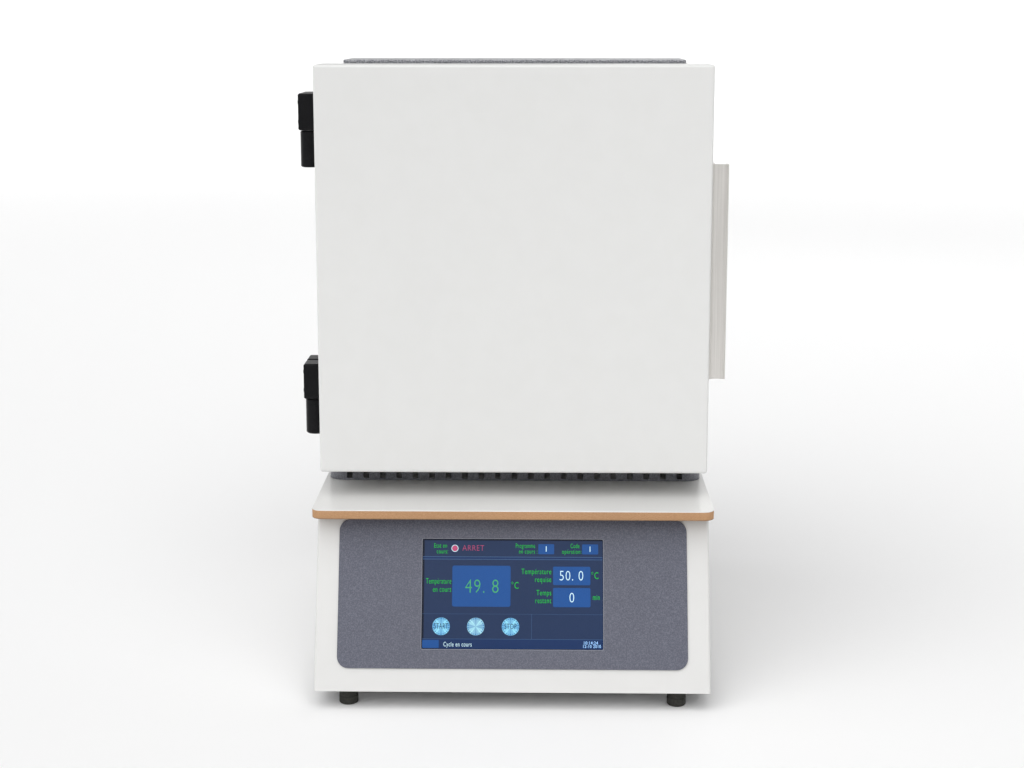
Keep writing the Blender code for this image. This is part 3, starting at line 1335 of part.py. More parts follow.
def mains_switch(material, root, rocker):
    """Rocker switch: the frame in the rear panel and the rocker on its pivot."""
    x = SWITCH_X
    half = SWITCH_WIDTH / 2
    tall = SWITCH_HEIGHT / 2
    rear = FITTING_FACE_Y + SWITCH_FLANGE_THICKNESS
    front = rear - SWITCH_DEPTH
    case = box((x - half, front, FITTINGS_Z - tall), (x + half, rear, FITTINGS_Z + tall))
    frame = add("switch_frame", case, material, root)
    wide = half + SWITCH_FLANGE
    high = tall + SWITCH_FLANGE
    flange = box((x - wide, FITTING_FACE_Y, FITTINGS_Z - high), (x + wide, rear, FITTINGS_Z + high))
    join(frame, flange, root)
    room = half - SWITCH_WALL
    rise = tall - SWITCH_WALL
    low = (x - room, front + SWITCH_FLOOR, FITTINGS_Z - rise)
    cut(frame, box(low, (x + room, rear + OVERRUN, FITTINGS_Z + rise)), root)
    end = rise - ROCKER_END_CLEARANCE
    keel = end * ROCKER_KEEL_SHARE
    outline = [
        (ROCKER_EAR, -end),
        (ROCKER_VALLEY, 0.0),
        (ROCKER_EAR, end),
        (-ROCKER_SKIRT, end),
        (-ROCKER_KEEL, keel),
        (-ROCKER_KEEL, -keel),
        (-ROCKER_SKIRT, -end),
    ]
    width = room - ROCKER_CLEARANCE
    add("switch_rocker", prism(outline, "X", -width, width), material, rocker)


def main():
    for obj in list(bpy.data.objects):
        bpy.data.objects.remove(obj, do_unlink=True)

    white = finish("white_powder_coat", (0.80, 0.80, 0.79), 0.45)
    grey = finish("grey_hammertone", (0.12, 0.13, 0.15), 0.42, 0.3)
    plate_grey = finish("speckled_plate", (0.09, 0.09, 0.10), 0.5)
    laminate = finish("worktop_laminate", (0.70, 0.69, 0.67), 0.35)
    rubber = finish("foot_rubber", (0.03, 0.03, 0.025), 0.8)
    glass = finish("screen_glass", (0.02, 0.03, 0.08), 0.08)
    dark = finish("dark_plastic", (0.03, 0.03, 0.03), 0.5)
    hinge_black = finish("hinge_black", (0.015, 0.015, 0.016), 0.35)
    anodised = finish("anodised_aluminium", (0.60, 0.59, 0.56), 0.35, 0.9)
    sink = finish("plain_aluminium", (0.55, 0.56, 0.58), 0.4, 0.9)
    steel = finish("plain_steel", (0.45, 0.45, 0.45), 0.35, 0.9)
    fibre = finish("fibre_insulation", (0.82, 0.80, 0.75), 0.95)
    rope = finish("seal_rope", (0.70, 0.68, 0.62), 0.95)
    ceramic = finish("dense_ceramic", (0.78, 0.74, 0.66), 0.6)
    element = finish("heating_rod", (0.10, 0.10, 0.11), 0.4, 0.4)
    braid = finish("aluminium_braid", (0.55, 0.55, 0.56), 0.5, 0.8)
    lead_grey = finish("lead_sleeve", (0.25, 0.25, 0.26), 0.8)
    circuit = finish("circuit_green", (0.02, 0.15, 0.06), 0.5)
    winding = finish("copper_winding", (0.45, 0.20, 0.08), 0.5, 0.5)
    iron = finish("core_iron", (0.14, 0.14, 0.15), 0.6, 0.5)

    root = Carrier("furnace", (-OUTLINE_MID_X, -OUTLINE_MID_Y, 0.0), local=True)
    panel = Carrier("panel_slope", (0.0, -BASE_TOE, FOOT_HEIGHT), root, tilt=-PANEL_SLOPE, local=True)
    door = Carrier("door_axis", (HINGE_X, HINGE_Y, DOOR_MID_Z), root)
    fan = Carrier("fan_axis", (FAN_X, FAN_REAR_Y, FITTINGS_Z), root)
    rocker = Carrier("rocker_axis", (SWITCH_X, PIVOT_Y, FITTINGS_Z), root, tilt=-ROCKER_TILT, local=True)

    base_casing(white, root, panel)
    base_floor(steel, root)
    base_rear_panel(grey, root)
    control_plate(plate_grey, panel)
    display(glass, dark, circuit, panel)
    feet(rubber, root)
    worktop_board(laminate, root)

    casing_wrap(grey, root)
    casing_top(grey, root)
    top_vent_cover(grey, root)
    casing_floor(steel, root)
    casing_rear_panel(grey, root)

    insulation(fibre, ceramic, root)
    heating_elements(element, root)
    element_carrier(ceramic, root)
    straps(braid, root)
    power_leads(lead_grey, root)
    thermocouple(ceramic, root)

    door_panels(white, steel, fibre, rope, door)
    door_handle(anodised, door)
    upper = DOOR_TOP_Z - HINGE_END_DISTANCE
    lower = DOOR_BOTTOM_Z + HINGE_END_DISTANCE
    hinge("hinge_upper", upper, hinge_black, steel, root, door)
    hinge("hinge_lower", lower, hinge_black, steel, root, door)
    catch_and_sensor(dark, steel, root, door)

    transformer(iron, winding, root)
    power_controller(sink, root)
    power_supply(steel, root)
    cooling_fan(dark, steel, root, fan)
    mains_inlet(dark, root)
    mains_switch(dark, root, rocker)


main()
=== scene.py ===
"""Looks of a bench-top dental furnace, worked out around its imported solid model.

Lengths are in metres. The door and the control panel face -Y, +X is to the viewer's right and +Z is up.
Shapes are arrays: an outline or a profile is carried along a path, ring by ring, and skinned.
"""

from __future__ import annotations

import json
import logging
import math
from collections.abc import Callable, Iterable, Iterator, Sequence
from contextlib import contextmanager
from dataclasses import dataclass, field, replace
from enum import Enum

import bmesh
import bpy
import numpy as np
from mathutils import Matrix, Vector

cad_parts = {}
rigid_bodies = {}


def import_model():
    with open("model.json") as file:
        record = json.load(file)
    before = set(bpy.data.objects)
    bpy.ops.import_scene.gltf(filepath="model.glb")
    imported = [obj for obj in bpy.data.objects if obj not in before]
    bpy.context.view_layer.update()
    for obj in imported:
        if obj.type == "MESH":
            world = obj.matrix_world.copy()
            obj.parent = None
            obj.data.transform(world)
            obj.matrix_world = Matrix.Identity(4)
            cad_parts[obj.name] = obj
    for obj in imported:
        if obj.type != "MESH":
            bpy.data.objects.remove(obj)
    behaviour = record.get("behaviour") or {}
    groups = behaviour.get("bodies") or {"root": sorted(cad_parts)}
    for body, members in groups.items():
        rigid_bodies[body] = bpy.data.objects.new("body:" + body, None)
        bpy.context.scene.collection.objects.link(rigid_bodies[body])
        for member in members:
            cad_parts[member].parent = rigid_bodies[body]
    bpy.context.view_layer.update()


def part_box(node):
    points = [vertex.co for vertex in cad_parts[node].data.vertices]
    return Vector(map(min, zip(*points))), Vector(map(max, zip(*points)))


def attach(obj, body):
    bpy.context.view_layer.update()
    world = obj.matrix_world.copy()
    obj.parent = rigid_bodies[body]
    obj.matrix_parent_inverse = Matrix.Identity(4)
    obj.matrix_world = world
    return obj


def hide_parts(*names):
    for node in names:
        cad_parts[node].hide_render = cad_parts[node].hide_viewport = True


LOG = logging.getLogger("furnace")
SMOOTH_ANGLE = math.radians(35)
BEVEL_ANGLE = math.radians(30)
QUARTER = math.pi / 2
CLOSE = 1e-4
COAT_ROUGHNESS = 0.06
DUST_ROUGHNESS = 0.3
BLOTCHES_PER_METRE = 9.0

Surface = tuple[np.ndarray, list[list[int]]]
Point = tuple[float, float, float]
Colour = tuple[float, float, float]

AXIS_ORDER = {"X": (2, 0, 1), "Y": (0, 2, 1), "Z": (0, 1, 2)}


class Body(Enum):
    """The moving bodies of the model."""

    FIXED = "body"
    DOOR = "door"
    ROCKER = "switch_rocker"
    ROTOR = "fan_rotor"


class Pattern(Enum):
    """What the surface of a material is made of."""

    PEEL = "orange peel of a powder coat"
    HAMMER = "dimples of a hammertone enamel"
    SPECKLE = "fine two-tone grain"
    BRUSHED = "long scratches"
    FIBRE = "felted fibres"
    WEAVE = "crossed strands"
    CHIPS = "pressed wood fibres in layers"
    MOULDED = "spark-eroded mould texture"
    GLARE = "rays of light on turned metal"


# ---- surfaces as arrays


def axis_points(flat: np.ndarray, depth: np.ndarray, axis: str) -> np.ndarray:
    """Puts flat outlines at depths along an axis.

    Args:
        flat: Outline points, shape (rings, points, 2), in the other two axes in X, Y, Z order.
        depth: One depth for each ring.
        axis: "X", "Y" or "Z".

    Returns:
        Points of shape (rings, points, 3).
    """
    depths = np.broadcast_to(np.asarray(depth, float)[:, None, None], (*flat.shape[:2], 1))
    return np.concatenate([flat, depths], axis=2)[..., AXIS_ORDER[axis]]


def skin(rings: np.ndarray, looped: bool = False) -> Surface:
    """Joins each ring to the next with four-sided faces.

    Args:
        rings: Points of shape (rings, points, 3).
        looped: True if the last ring joins the first, and False if both ends get a flat cap.

    Returns:
        Points and faces.
    """
    count, points, _ = rings.shape
    index = np.arange(count * points).reshape(count, points)
    near = index if looped else index[:-1]
    far = np.roll(index, -1, axis=0) if looped else index[1:]
    quads = np.stack([near, np.roll(near, -1, 1), np.roll(far, -1, 1), far], axis=2)
    faces = quads.reshape(-1, 4).tolist()
    if not looped:
        faces += [index[0][::-1].tolist(), index[-1].tolist()]
    return rings.reshape(-1, 3), faces


def merged(surfaces: Iterable[Surface]) -> Surface:
    """Gathers several surfaces in one, each still closed by itself."""
    points: list[np.ndarray] = []
    faces: list[list[int]] = []
    start = 0
    for part, part_faces in surfaces:
        points.append(part)
        faces += [[corner + start for corner in face] for face in part_faces]
        start += len(part)
    return np.concatenate(points), faces


def moved(surface: Surface, offset: Sequence[float]) -> Surface:
    """Shifts a surface."""
    return surface[0] + np.asarray(offset, float), surface[1]


def swung(surface: Surface, angle: float) -> Surface:
    """Turns a surface about the X axis."""
    x, y, z = surface[0].T
    c, s = math.cos(angle), math.sin(angle)
    return np.stack([x, y * c - z * s, y * s + z * c], axis=1), surface[1]


def rounded_outline(low: np.ndarray, high: np.ndarray, radius: float, steps: int = 8) -> np.ndarray:
    """A rectangle with round corners: each corner is a quarter circle about a centre set in by the radius.

    Args:
        low: Lowest corner in the plane.
        high: Highest corner in the plane.
        radius: Corner radius.
        steps: Steps in each quarter circle.

    Returns:
        Points of shape (4 * (steps + 1), 2), counter-clockwise.
    """
    low, high = np.asarray(low, float), np.asarray(high, float)
    signs = np.array([(1, 1), (-1, 1), (-1, -1), (1, -1)])
    centres = (low + high) / 2 + signs * ((high - low) / 2 - radius)
    turns = QUARTER * np.arange(4)[:, None] + np.linspace(0, QUARTER, steps + 1)
    arcs = radius * np.stack([np.cos(turns), np.sin(turns)], axis=2)
    return (centres[:, None, :] + arcs).reshape(-1, 2)


def inset_outlines(
    low: Sequence[float], high: Sequence[float], corner: float, insets: np.ndarray, steps: int = 8
) -> np.ndarray:
    """Rounded rectangles set in from one another, with as many points each."""
    least = 1e-4
    low, high = np.asarray(low, float), np.asarray(high, float)
    return np.stack(
        [rounded_outline(low + inset, high - inset, max(corner - inset, least), steps) for inset in insets]
    )


def edge_profile(near: float, far: float, near_edge: float, far_edge: float, steps: int = 4) -> tuple:
    """Insets and depths of a plate's side: a quarter circle, a straight run and a quarter circle.

    A first and a last ring lie just inside on the flat ends, which keeps the shading of the ends flat.
    """
    turn = np.linspace(0, QUARTER, steps + 1)
    flat = 1.5
    insets = [[near_edge * flat], near_edge * (1 - np.sin(turn)), far_edge * (1 - np.cos(turn)), [far_edge * flat]]
    depths = [[near], near + near_edge * (1 - np.cos(turn)), far - far_edge * (1 - np.sin(turn)), [far]]
    return np.concatenate(insets), np.concatenate(depths)


def slab(
    low: Sequence[float],
    high: Sequence[float],
    axis: str,
    corner: float,
    edge: float,
    steps: int = 8,
    far_edge: float | None = None,
) -> Surface:
    """A plate with round corners across an axis and round edges along it.

    Args:
        low: Lowest corner.
        high: Highest corner.
        axis: The axis that the plate is thin or long along.
        corner: Radius of its corners.
        edge: Radius of the edges at the low end of the axis.
        steps: Steps in each corner.
        far_edge: Radius of the edges at the high end, or None for the same.

    Returns:
        Points and faces.
    """
    w = "XYZ".index(axis)
    u, v = [place for place in range(3) if place != w]
    insets, depths = edge_profile(low[w], high[w], edge, edge if far_edge is None else far_edge)
    flat = inset_outlines((low[u], low[v]), (high[u], high[v]), corner, insets, steps)
    return skin(axis_points(flat, depths, axis))


def framed(
    outer: tuple, inner: tuple, near: float, far: float, corners: tuple[float, float], edge: float
) -> Surface:
    """An upright plate with a window: one closed loop of rings, outside, back, window and front."""
    insets, depths = edge_profile(near, far, edge, edge, 2)
    outside = inset_outlines(*outer, corners[0], insets)
    window = inset_outlines(*inner, corners[1], -insets[::-1])
    flat = np.concatenate([outside, window])
    return skin(axis_points(flat, np.concatenate([depths, depths[::-1]]), "Y"), looped=True)


def turned(
    profile: Sequence[tuple[float, float]],
    centre: Sequence[float],
    axis: str,
    sides: int = 40,
    flats: Sequence[int] = (),
    looped: bool = False,
) -> Surface:
    """A profile of radius and height turned about an axis.

    Args:
        profile: (radius, height) points from the low end to the high end.
        centre: Where radius and height are zero.
        axis: The axis of the turn.
        sides: Points around.
        flats: Numbers of the profile points whose ring is a hexagon, where the radius is that of the flats.
        looped: True for a ring, whose profile is a closed loop.

    Returns:
        Points and faces.
    """
    angle = np.linspace(0, math.tau, sides, endpoint=False)
    radii = np.repeat(np.array([radius for radius, _ in profile])[:, None], sides, axis=1)
    across = 1 / np.cos(np.mod(angle, math.pi / 3) - math.pi / 6)
    for number in flats:
        radii[number] *= across
    flat = np.stack([radii * np.cos(angle), radii * np.sin(angle)], axis=2)
    return moved(skin(axis_points(flat, [height for _, height in profile], axis), looped), centre)


def tube(path: np.ndarray, radii: np.ndarray, normal: Point, sides: int = 24) -> Surface:
    """A round rod along a flat path: each ring lies across the path's direction.

    Args:
        path: Points of shape (points, 3) in one plane.
        radii: A radius for each point.
        normal: The plane's normal.
        sides: Points around.

    Returns:
        Points and faces.
    """
    along = np.gradient(path, axis=0)
    along /= np.linalg.norm(along, axis=1, keepdims=True)
    side = np.asarray(normal, float)
    other = np.cross(along, side)
    angle = np.linspace(0, math.tau, sides, endpoint=False)[None, :, None]
    rings = path[:, None] + radii[:, None, None] * (np.cos(angle) * side + np.sin(angle) * other[:, None])
    return skin(rings)


# ---- finishes


@dataclass(frozen=True)
class Finish:
    """One material: two colours, the pattern that mixes and raises them, and its gloss."""

    name: str
    slot: str
    colour: Colour
    second: Colour
    pattern: Pattern
    per_metre: float
    relief: float
    roughness: float
    spread: float = 0.06
    metallic: float = 0.0
    coat: float = 0.0
    gleam: float = 0.5
    stretch: Point = (1.0, 1.0, 1.0)
    glow: float = 0.0
    blotch: float = 0.05
    dust: float = 0.0

    def material(self) -> bpy.types.Material:
        """The Blender material, made once."""
        return bpy.data.materials.get(self.label()) or FinishMaker(self).build()

    def label(self) -> str:
        """The material's own name, apart from those of the solid model."""
        return f"{self.name}_surface"


class FinishMaker:
    """Builds the node tree of a finish."""

    def __init__(self, finish: Finish) -> None:
        """Starts an empty tree."""
        self.finish = finish
        self.made = bpy.data.materials.new(finish.label())
        self.made.use_nodes = True
        self.tree = self.made.node_tree
        self.shader = self.tree.nodes["Principled BSDF"]

    def node(self, kind: str, inputs: dict | None = None, **settings: object) -> bpy.types.Node:
        """Adds a node. An input is a value, or a socket that is linked to it."""
        made = self.tree.nodes.new(kind)
        for name, value in settings.items():
            setattr(made, name, value)
        for name, value in (inputs or {}).items():
            self.feed(made.inputs[name], value)
        return made

    def feed(self, socket: bpy.types.NodeSocket, value: object) -> None:
        """Links a socket to the one given, or sets it to the value given."""
        if isinstance(value, bpy.types.NodeSocket):
            self.tree.links.new(value, socket)
        else:
            socket.default_value = value

    def noise(self, vector: object, scale: float, detail: float = 2.0, rough: float = 0.5) -> object:
        """A noise texture's value."""
        inputs = {"Vector": vector, "Scale": scale, "Detail": detail, "Roughness": rough}
        return self.node("ShaderNodeTexNoise", inputs).outputs["Fac"]

    def cells(self, vector: object, scale: float, smoothness: float) -> object:
        """Distance to the nearest of scattered points."""
        inputs = {"Vector": vector, "Scale": scale, "Smoothness": smoothness}
        return self.node("ShaderNodeTexVoronoi", inputs, feature="SMOOTH_F1").outputs["Distance"]

    def span(self, value: object, low: float, high: float, to_low: float = 0.0, to_high: float = 1.0) -> object:
        """Carries a value's range over to another range, clamped."""
        inputs = {"Value": value, "From Min": low, "From Max": high, "To Min": to_low, "To Max": to_high}
        return self.node("ShaderNodeMapRange", inputs).outputs["Result"]

    def maths(self, operation: str, first: object, second: object) -> object:
        """One sum of two values."""
        made = self.node("ShaderNodeMath", operation=operation)
        for socket, value in zip(made.inputs, (first, second)):
            self.feed(socket, value)
        return made.outputs["Value"]

    def mix(self, factor: object, first: object, second: object, blend: str = "MIX") -> object:
        """Mixes two colours."""
        made = self.node("ShaderNodeMix", {"Factor": factor}, data_type="RGBA", blend_type=blend)
        for number, value in ((6, first), (7, second)):
            self.feed(made.inputs[number], (*value, 1.0) if isinstance(value, tuple) else value)
        return made.outputs[2]

    def weave(self, vector: object) -> object:
        """Strands that cross: the higher of two sets of bands, set off by half a strand."""
        scale = self.finish.per_metre
        bands = [
            self.node(
                "ShaderNodeTexWave",
                {"Vector": vector, "Scale": scale, "Distortion": 0.6, "Detail": 1.0},
                bands_direction=direction,
            ).outputs["Fac"]
            for direction in ("X", "Y")
        ]
        return self.maths("MAXIMUM", bands[0], self.maths("MULTIPLY", bands[1], 0.9))

    def glare(self, vector: object) -> object:
        """Rays round a middle, crossed by a dark dashed ring.

        The rays are half a fine wave less a broad one, both cosines of whole turns. The ring's radius is
        1 / per_metre, and a third wave cuts it into dashes.

        Args:
            vector: The place socket, whose zero is the middle of the rays.

        Returns:
            The mixing factor.
        """
        ring_half, ring_end, ring_shade, ray_shade = 0.0003, 0.0006, 0.15, 0.38
        turn = self.node("ShaderNodeTexGradient", {"Vector": vector}, gradient_type="RADIAL").outputs["Fac"]
        broad, fine, dashed = (
            self.maths("COSINE", self.maths("MULTIPLY", turn, math.tau * count), 0.0) for count in (4, 14, 22)
        )
        rays = self.span(self.maths("SUBTRACT", self.maths("MULTIPLY", fine, 0.5), broad), -1.2, 1.4, ray_shade)
        away = self.node("ShaderNodeVectorMath", {"Vector": vector}, operation="LENGTH").outputs["Value"]
        off_ring = self.maths("ABSOLUTE", self.maths("SUBTRACT", away, 1 / self.finish.per_metre), 0.0)
        ring = self.span(off_ring, ring_half, ring_end, ring_shade)
        return self.maths("MULTIPLY", rays, self.maths("MAXIMUM", ring, self.span(dashed, -0.1, 0.3)))

    def pattern(self, vector: object) -> tuple[object, object]:
        """Where the second colour shows, and how high the surface is.

        Args:
            vector: The place socket, already stretched.

        Returns:
            The mixing factor and the height, both from 0 to 1.
        """
        kind, scale = self.finish.pattern, self.finish.per_metre
        fine = self.noise(vector, scale)
        if kind is Pattern.PEEL:
            return self.span(self.noise(vector, scale / 12, 3.0), 0.4, 0.62), fine
        if kind is Pattern.HAMMER:
            dimple = self.cells(vector, scale, 0.55)
            return self.span(self.noise(vector, scale * 2.5), 0.38, 0.62), self.maths("ADD", dimple, fine)
        if kind is Pattern.SPECKLE:
            return self.span(fine, 0.42, 0.64), self.noise(vector, scale * 0.7, 3.0)
        if kind is Pattern.BRUSHED:
            grain = self.noise(vector, scale, 6.0, 0.6)
            return self.span(grain, 0.35, 0.68), grain
        if kind is Pattern.FIBRE:
            felt = self.noise(vector, scale, 9.0, 0.72)
            lump = self.noise(vector, scale / 9, 4.0, 0.6)
            return self.span(felt, 0.4, 0.66), self.maths("ADD", felt, lump)
        if kind is Pattern.WEAVE:
            strands = self.weave(vector)
            return self.span(strands, 0.2, 0.9), strands
        if kind is Pattern.GLARE:
            return self.glare(vector), fine
        if kind is Pattern.CHIPS:
            layers = self.noise(vector, scale, 8.0, 0.75)
            return self.span(layers, 0.36, 0.62), layers
        return self.span(fine, 0.4, 0.6), fine

    def build(self) -> bpy.types.Material:
        """Links place, pattern, colour, gloss and relief to the shader.

        Returns:
            The finished material.
        """
        finish = self.finish
        source = "UV" if finish.pattern in (Pattern.WEAVE, Pattern.GLARE) else "Object"
        place = self.node("ShaderNodeTexCoord").outputs[source]
        stretched = self.node("ShaderNodeMapping", {"Vector": place, "Scale": finish.stretch}).outputs["Vector"]
        factor, height = self.pattern(stretched)
        broad = self.noise(place, BLOTCHES_PER_METRE, 3.0)
        shade = self.span(broad, 0.3, 0.7, 1.0 - finish.blotch, 1.0)
        tint = self.node("ShaderNodeCombineColor", {"Red": shade, "Green": shade, "Blue": shade}).outputs[0]
        colour = self.mix(1.0, self.mix(factor, finish.colour, finish.second), tint, "MULTIPLY")
        low, high = finish.roughness - finish.spread, finish.roughness + finish.spread
        worn = self.maths("ADD", broad, self.maths("MULTIPLY", height, 0.5))
        bump = self.node("ShaderNodeBump", {"Height": height, "Distance": finish.relief, "Strength": 1.0})
        inputs = {
            "Base Color": colour,
            "Roughness": self.span(worn, 0.5, 1.0, low, high),
            "Normal": bump.outputs["Normal"],
            "Metallic": finish.metallic,
            "Specular IOR Level": finish.gleam,
            "Coat Weight": finish.coat,
            "Coat Roughness": COAT_ROUGHNESS,
            "Sheen Weight": finish.dust,
            "Sheen Roughness": DUST_ROUGHNESS,
        }
        if finish.glow:
            inputs |= {"Emission Color": colour, "Emission Strength": finish.glow}
        for name, value in inputs.items():
            self.feed(self.shader.inputs[name], value)
        self.made.diffuse_color = (*finish.colour, 1.0)
        return self.made


WHITE = Finish(
    "white_powder_coat", "white_powder_coat", (0.72, 0.72, 0.71), (0.713, 0.713, 0.702),
    Pattern.PEEL, 620.0, 0.00003, 0.36, 0.03, coat=0.15, blotch=0.012,
)
# Painted shade: the base has the door's white coat, darkened here so that its upward-tilted front comes out no
# brighter than the door.
WHITE_WITH_PAINTED_SHADE = replace(WHITE, name="white_coat_with_painted_shade", colour=(0.675, 0.672, 0.662), second=(0.668, 0.665, 0.654))
HAMMERTONE = Finish(
    "grey_hammertone", "grey_hammertone", (0.115, 0.118, 0.134), (0.178, 0.183, 0.205),
    Pattern.HAMMER, 300.0, 0.0005, 0.34, 0.08, metallic=0.25, coat=0.2,
)
# Painted light: the vent cover has the casing's enamel, made lighter as if lit more, with pale specks that stand in
# for glints.
HAMMERTONE_WITH_PAINTED_LIGHT = replace(
    HAMMERTONE, name="hammertone_with_painted_light", colour=(0.135, 0.139, 0.155), second=(0.44, 0.445, 0.47), per_metre=360.0,
)
PLATE = Finish(
    "speckled_plate", "speckled_plate", (0.092, 0.097, 0.127), (0.146, 0.151, 0.192),
    Pattern.SPECKLE, 900.0, 0.00006, 0.5, 0.06, gleam=0.35,
)
# Painted highlight: a much lighter copy of the plate for the ring round the window, standing in for the light that the
# window's edge catches.
EDGE_PAINTED_HIGHLIGHT = replace(
    PLATE, name="painted_edge_highlight", colour=(0.30, 0.31, 0.36), second=(0.24, 0.25, 0.29), relief=0.00001, roughness=0.35,
)
LAMINATE = Finish(
    "worktop_laminate", "worktop_laminate", (0.74, 0.735, 0.72), (0.722, 0.717, 0.702),
    Pattern.SPECKLE, 900.0, 0.000006, 0.34, 0.05, coat=0.25, blotch=0.015,
)
CORE = Finish(
    "fibreboard_core", "worktop_laminate", (0.53, 0.31, 0.165), (0.40, 0.215, 0.10),
    Pattern.CHIPS, 500.0, 0.00012, 0.78, 0.08, stretch=(1.0, 1.0, 4.0), blotch=0.12,
)
BACKING = Finish(
    "kraft_backing", "worktop_laminate", (0.30, 0.18, 0.095), (0.24, 0.14, 0.072),
    Pattern.MOULDED, 700.0, 0.00004, 0.7, 0.08, blotch=0.1,
)
RUBBER = Finish(
    "foot_rubber", "foot_rubber", (0.022, 0.022, 0.019), (0.04, 0.038, 0.033),
    Pattern.MOULDED, 900.0, 0.00008, 0.72, 0.1, gleam=0.3,
)
HINGE = Finish(
    "hinge_black", "hinge_black", (0.005, 0.005, 0.006), (0.010, 0.010, 0.011),
    Pattern.MOULDED, 1100.0, 0.00005, 0.36, 0.08, gleam=0.1, dust=0.35,
)
ANODISED = Finish(
    "anodised_aluminium", "anodised_aluminium", (0.65, 0.63, 0.60), (0.75, 0.73, 0.70),
    Pattern.BRUSHED, 900.0, 0.00002, 0.38, 0.07, metallic=0.9, stretch=(1.0, 1.0, 0.01),
)
STEEL = Finish(
    "plain_steel", "plain_steel", (0.42, 0.42, 0.42), (0.56, 0.56, 0.555),
    Pattern.BRUSHED, 700.0, 0.00002, 0.34, 0.08, metallic=0.95, stretch=(0.02, 1.0, 1.0),
)
# Painted shade: the casing floor, seen through the vent slots under the chamber, gets a dark copy of the plain steel.
STEEL_WITH_PAINTED_SHADE = replace(
    STEEL, name="steel_with_painted_shade", colour=(0.055, 0.053, 0.052), second=(0.095, 0.09, 0.085),
    metallic=0.4, roughness=0.6,
)
SCREW = replace(STEEL, name="screw_zinc", colour=(0.45, 0.45, 0.47), stretch=(1.0, 1.0, 1.0))
CONTACT = replace(
    STEEL, name="nickel_contact", colour=(0.58, 0.55, 0.48), second=(0.68, 0.65, 0.58), stretch=(1.0, 1.0, 1.0)
)
HINGE_SCREW = replace(
    STEEL, name="screw_black", slot="hinge_black", colour=(0.02, 0.02, 0.022), second=(0.04, 0.04, 0.042),
    stretch=(1.0, 1.0, 1.0),
)
EXTRUDED = replace(
    STEEL, name="plain_aluminium", slot="plain_aluminium", colour=(0.50, 0.51, 0.53), stretch=(1.0, 0.02, 1.0)
)
FIBRE = Finish(
    "fibre_insulation", "fibre_insulation", (0.80, 0.775, 0.72), (0.88, 0.87, 0.84),
    Pattern.FIBRE, 420.0, 0.0009, 0.93, 0.04, blotch=0.1,
)
ROPE = Finish(
    "seal_rope", "seal_rope", (0.52, 0.50, 0.45), (0.78, 0.76, 0.70),
    Pattern.WEAVE, 1.0, 0.0005, 0.9, 0.05, blotch=0.08,
)
CERAMIC = Finish(
    "dense_ceramic", "dense_ceramic", (0.76, 0.72, 0.64), (0.66, 0.61, 0.53),
    Pattern.SPECKLE, 500.0, 0.00015, 0.6, 0.08, blotch=0.1,
)
ELEMENT = Finish(
    "heating_rod", "heating_rod", (0.075, 0.075, 0.085), (0.16, 0.155, 0.15),
    Pattern.SPECKLE, 320.0, 0.00012, 0.4, 0.1, metallic=0.3, blotch=0.2,
)
BRAID = Finish(
    "aluminium_braid", "aluminium_braid", (0.42, 0.42, 0.43), (0.66, 0.66, 0.67),
    Pattern.SPECKLE, 1200.0, 0.0003, 0.45, 0.1, metallic=0.85,
)
SLEEVE = Finish(
    "lead_sleeve", "lead_sleeve", (0.20, 0.20, 0.21), (0.27, 0.27, 0.28),
    Pattern.MOULDED, 1000.0, 0.0001, 0.75, 0.08,
)
CIRCUIT = Finish(
    "circuit_green", "circuit_green", (0.015, 0.12, 0.045), (0.03, 0.18, 0.07),
    Pattern.SPECKLE, 300.0, 0.00004, 0.35, 0.1, coat=0.3,
)
COPPER = Finish(
    "copper_winding", "copper_winding", (0.42, 0.17, 0.06), (0.60, 0.27, 0.11),
    Pattern.BRUSHED, 700.0, 0.0004, 0.4, 0.1, metallic=0.8, stretch=(0.02, 0.02, 1.0),
)
IRON = Finish(
    "core_iron", "core_iron", (0.10, 0.10, 0.11), (0.18, 0.18, 0.19),
    Pattern.BRUSHED, 900.0, 0.0003, 0.5, 0.1, metallic=0.6, stretch=(0.02, 1.0, 0.02),
)
PLASTIC = Finish(
    "dark_plastic", "dark_plastic", (0.022, 0.022, 0.023), (0.036, 0.036, 0.038),
    Pattern.MOULDED, 1600.0, 0.00005, 0.48, 0.07,
)
MARKING = replace(PLASTIC, name="switch_marking", colour=(0.75, 0.75, 0.75), second=(0.8, 0.8, 0.8))


def pixels(name: str, colour: Colour, glow: float) -> Finish:
    """The finish of lit pixels behind the cover glass, with a slightly dimmer grain."""
    dimmed = 0.88
    dim = tuple(dimmed * part for part in colour)
    return Finish(
        f"lit_{name}", "screen_glass", colour, dim, Pattern.SPECKLE, 2400.0, 0.000001, 0.2, 0.04,
        gleam=0.12, glow=glow, blotch=0.1,
    )


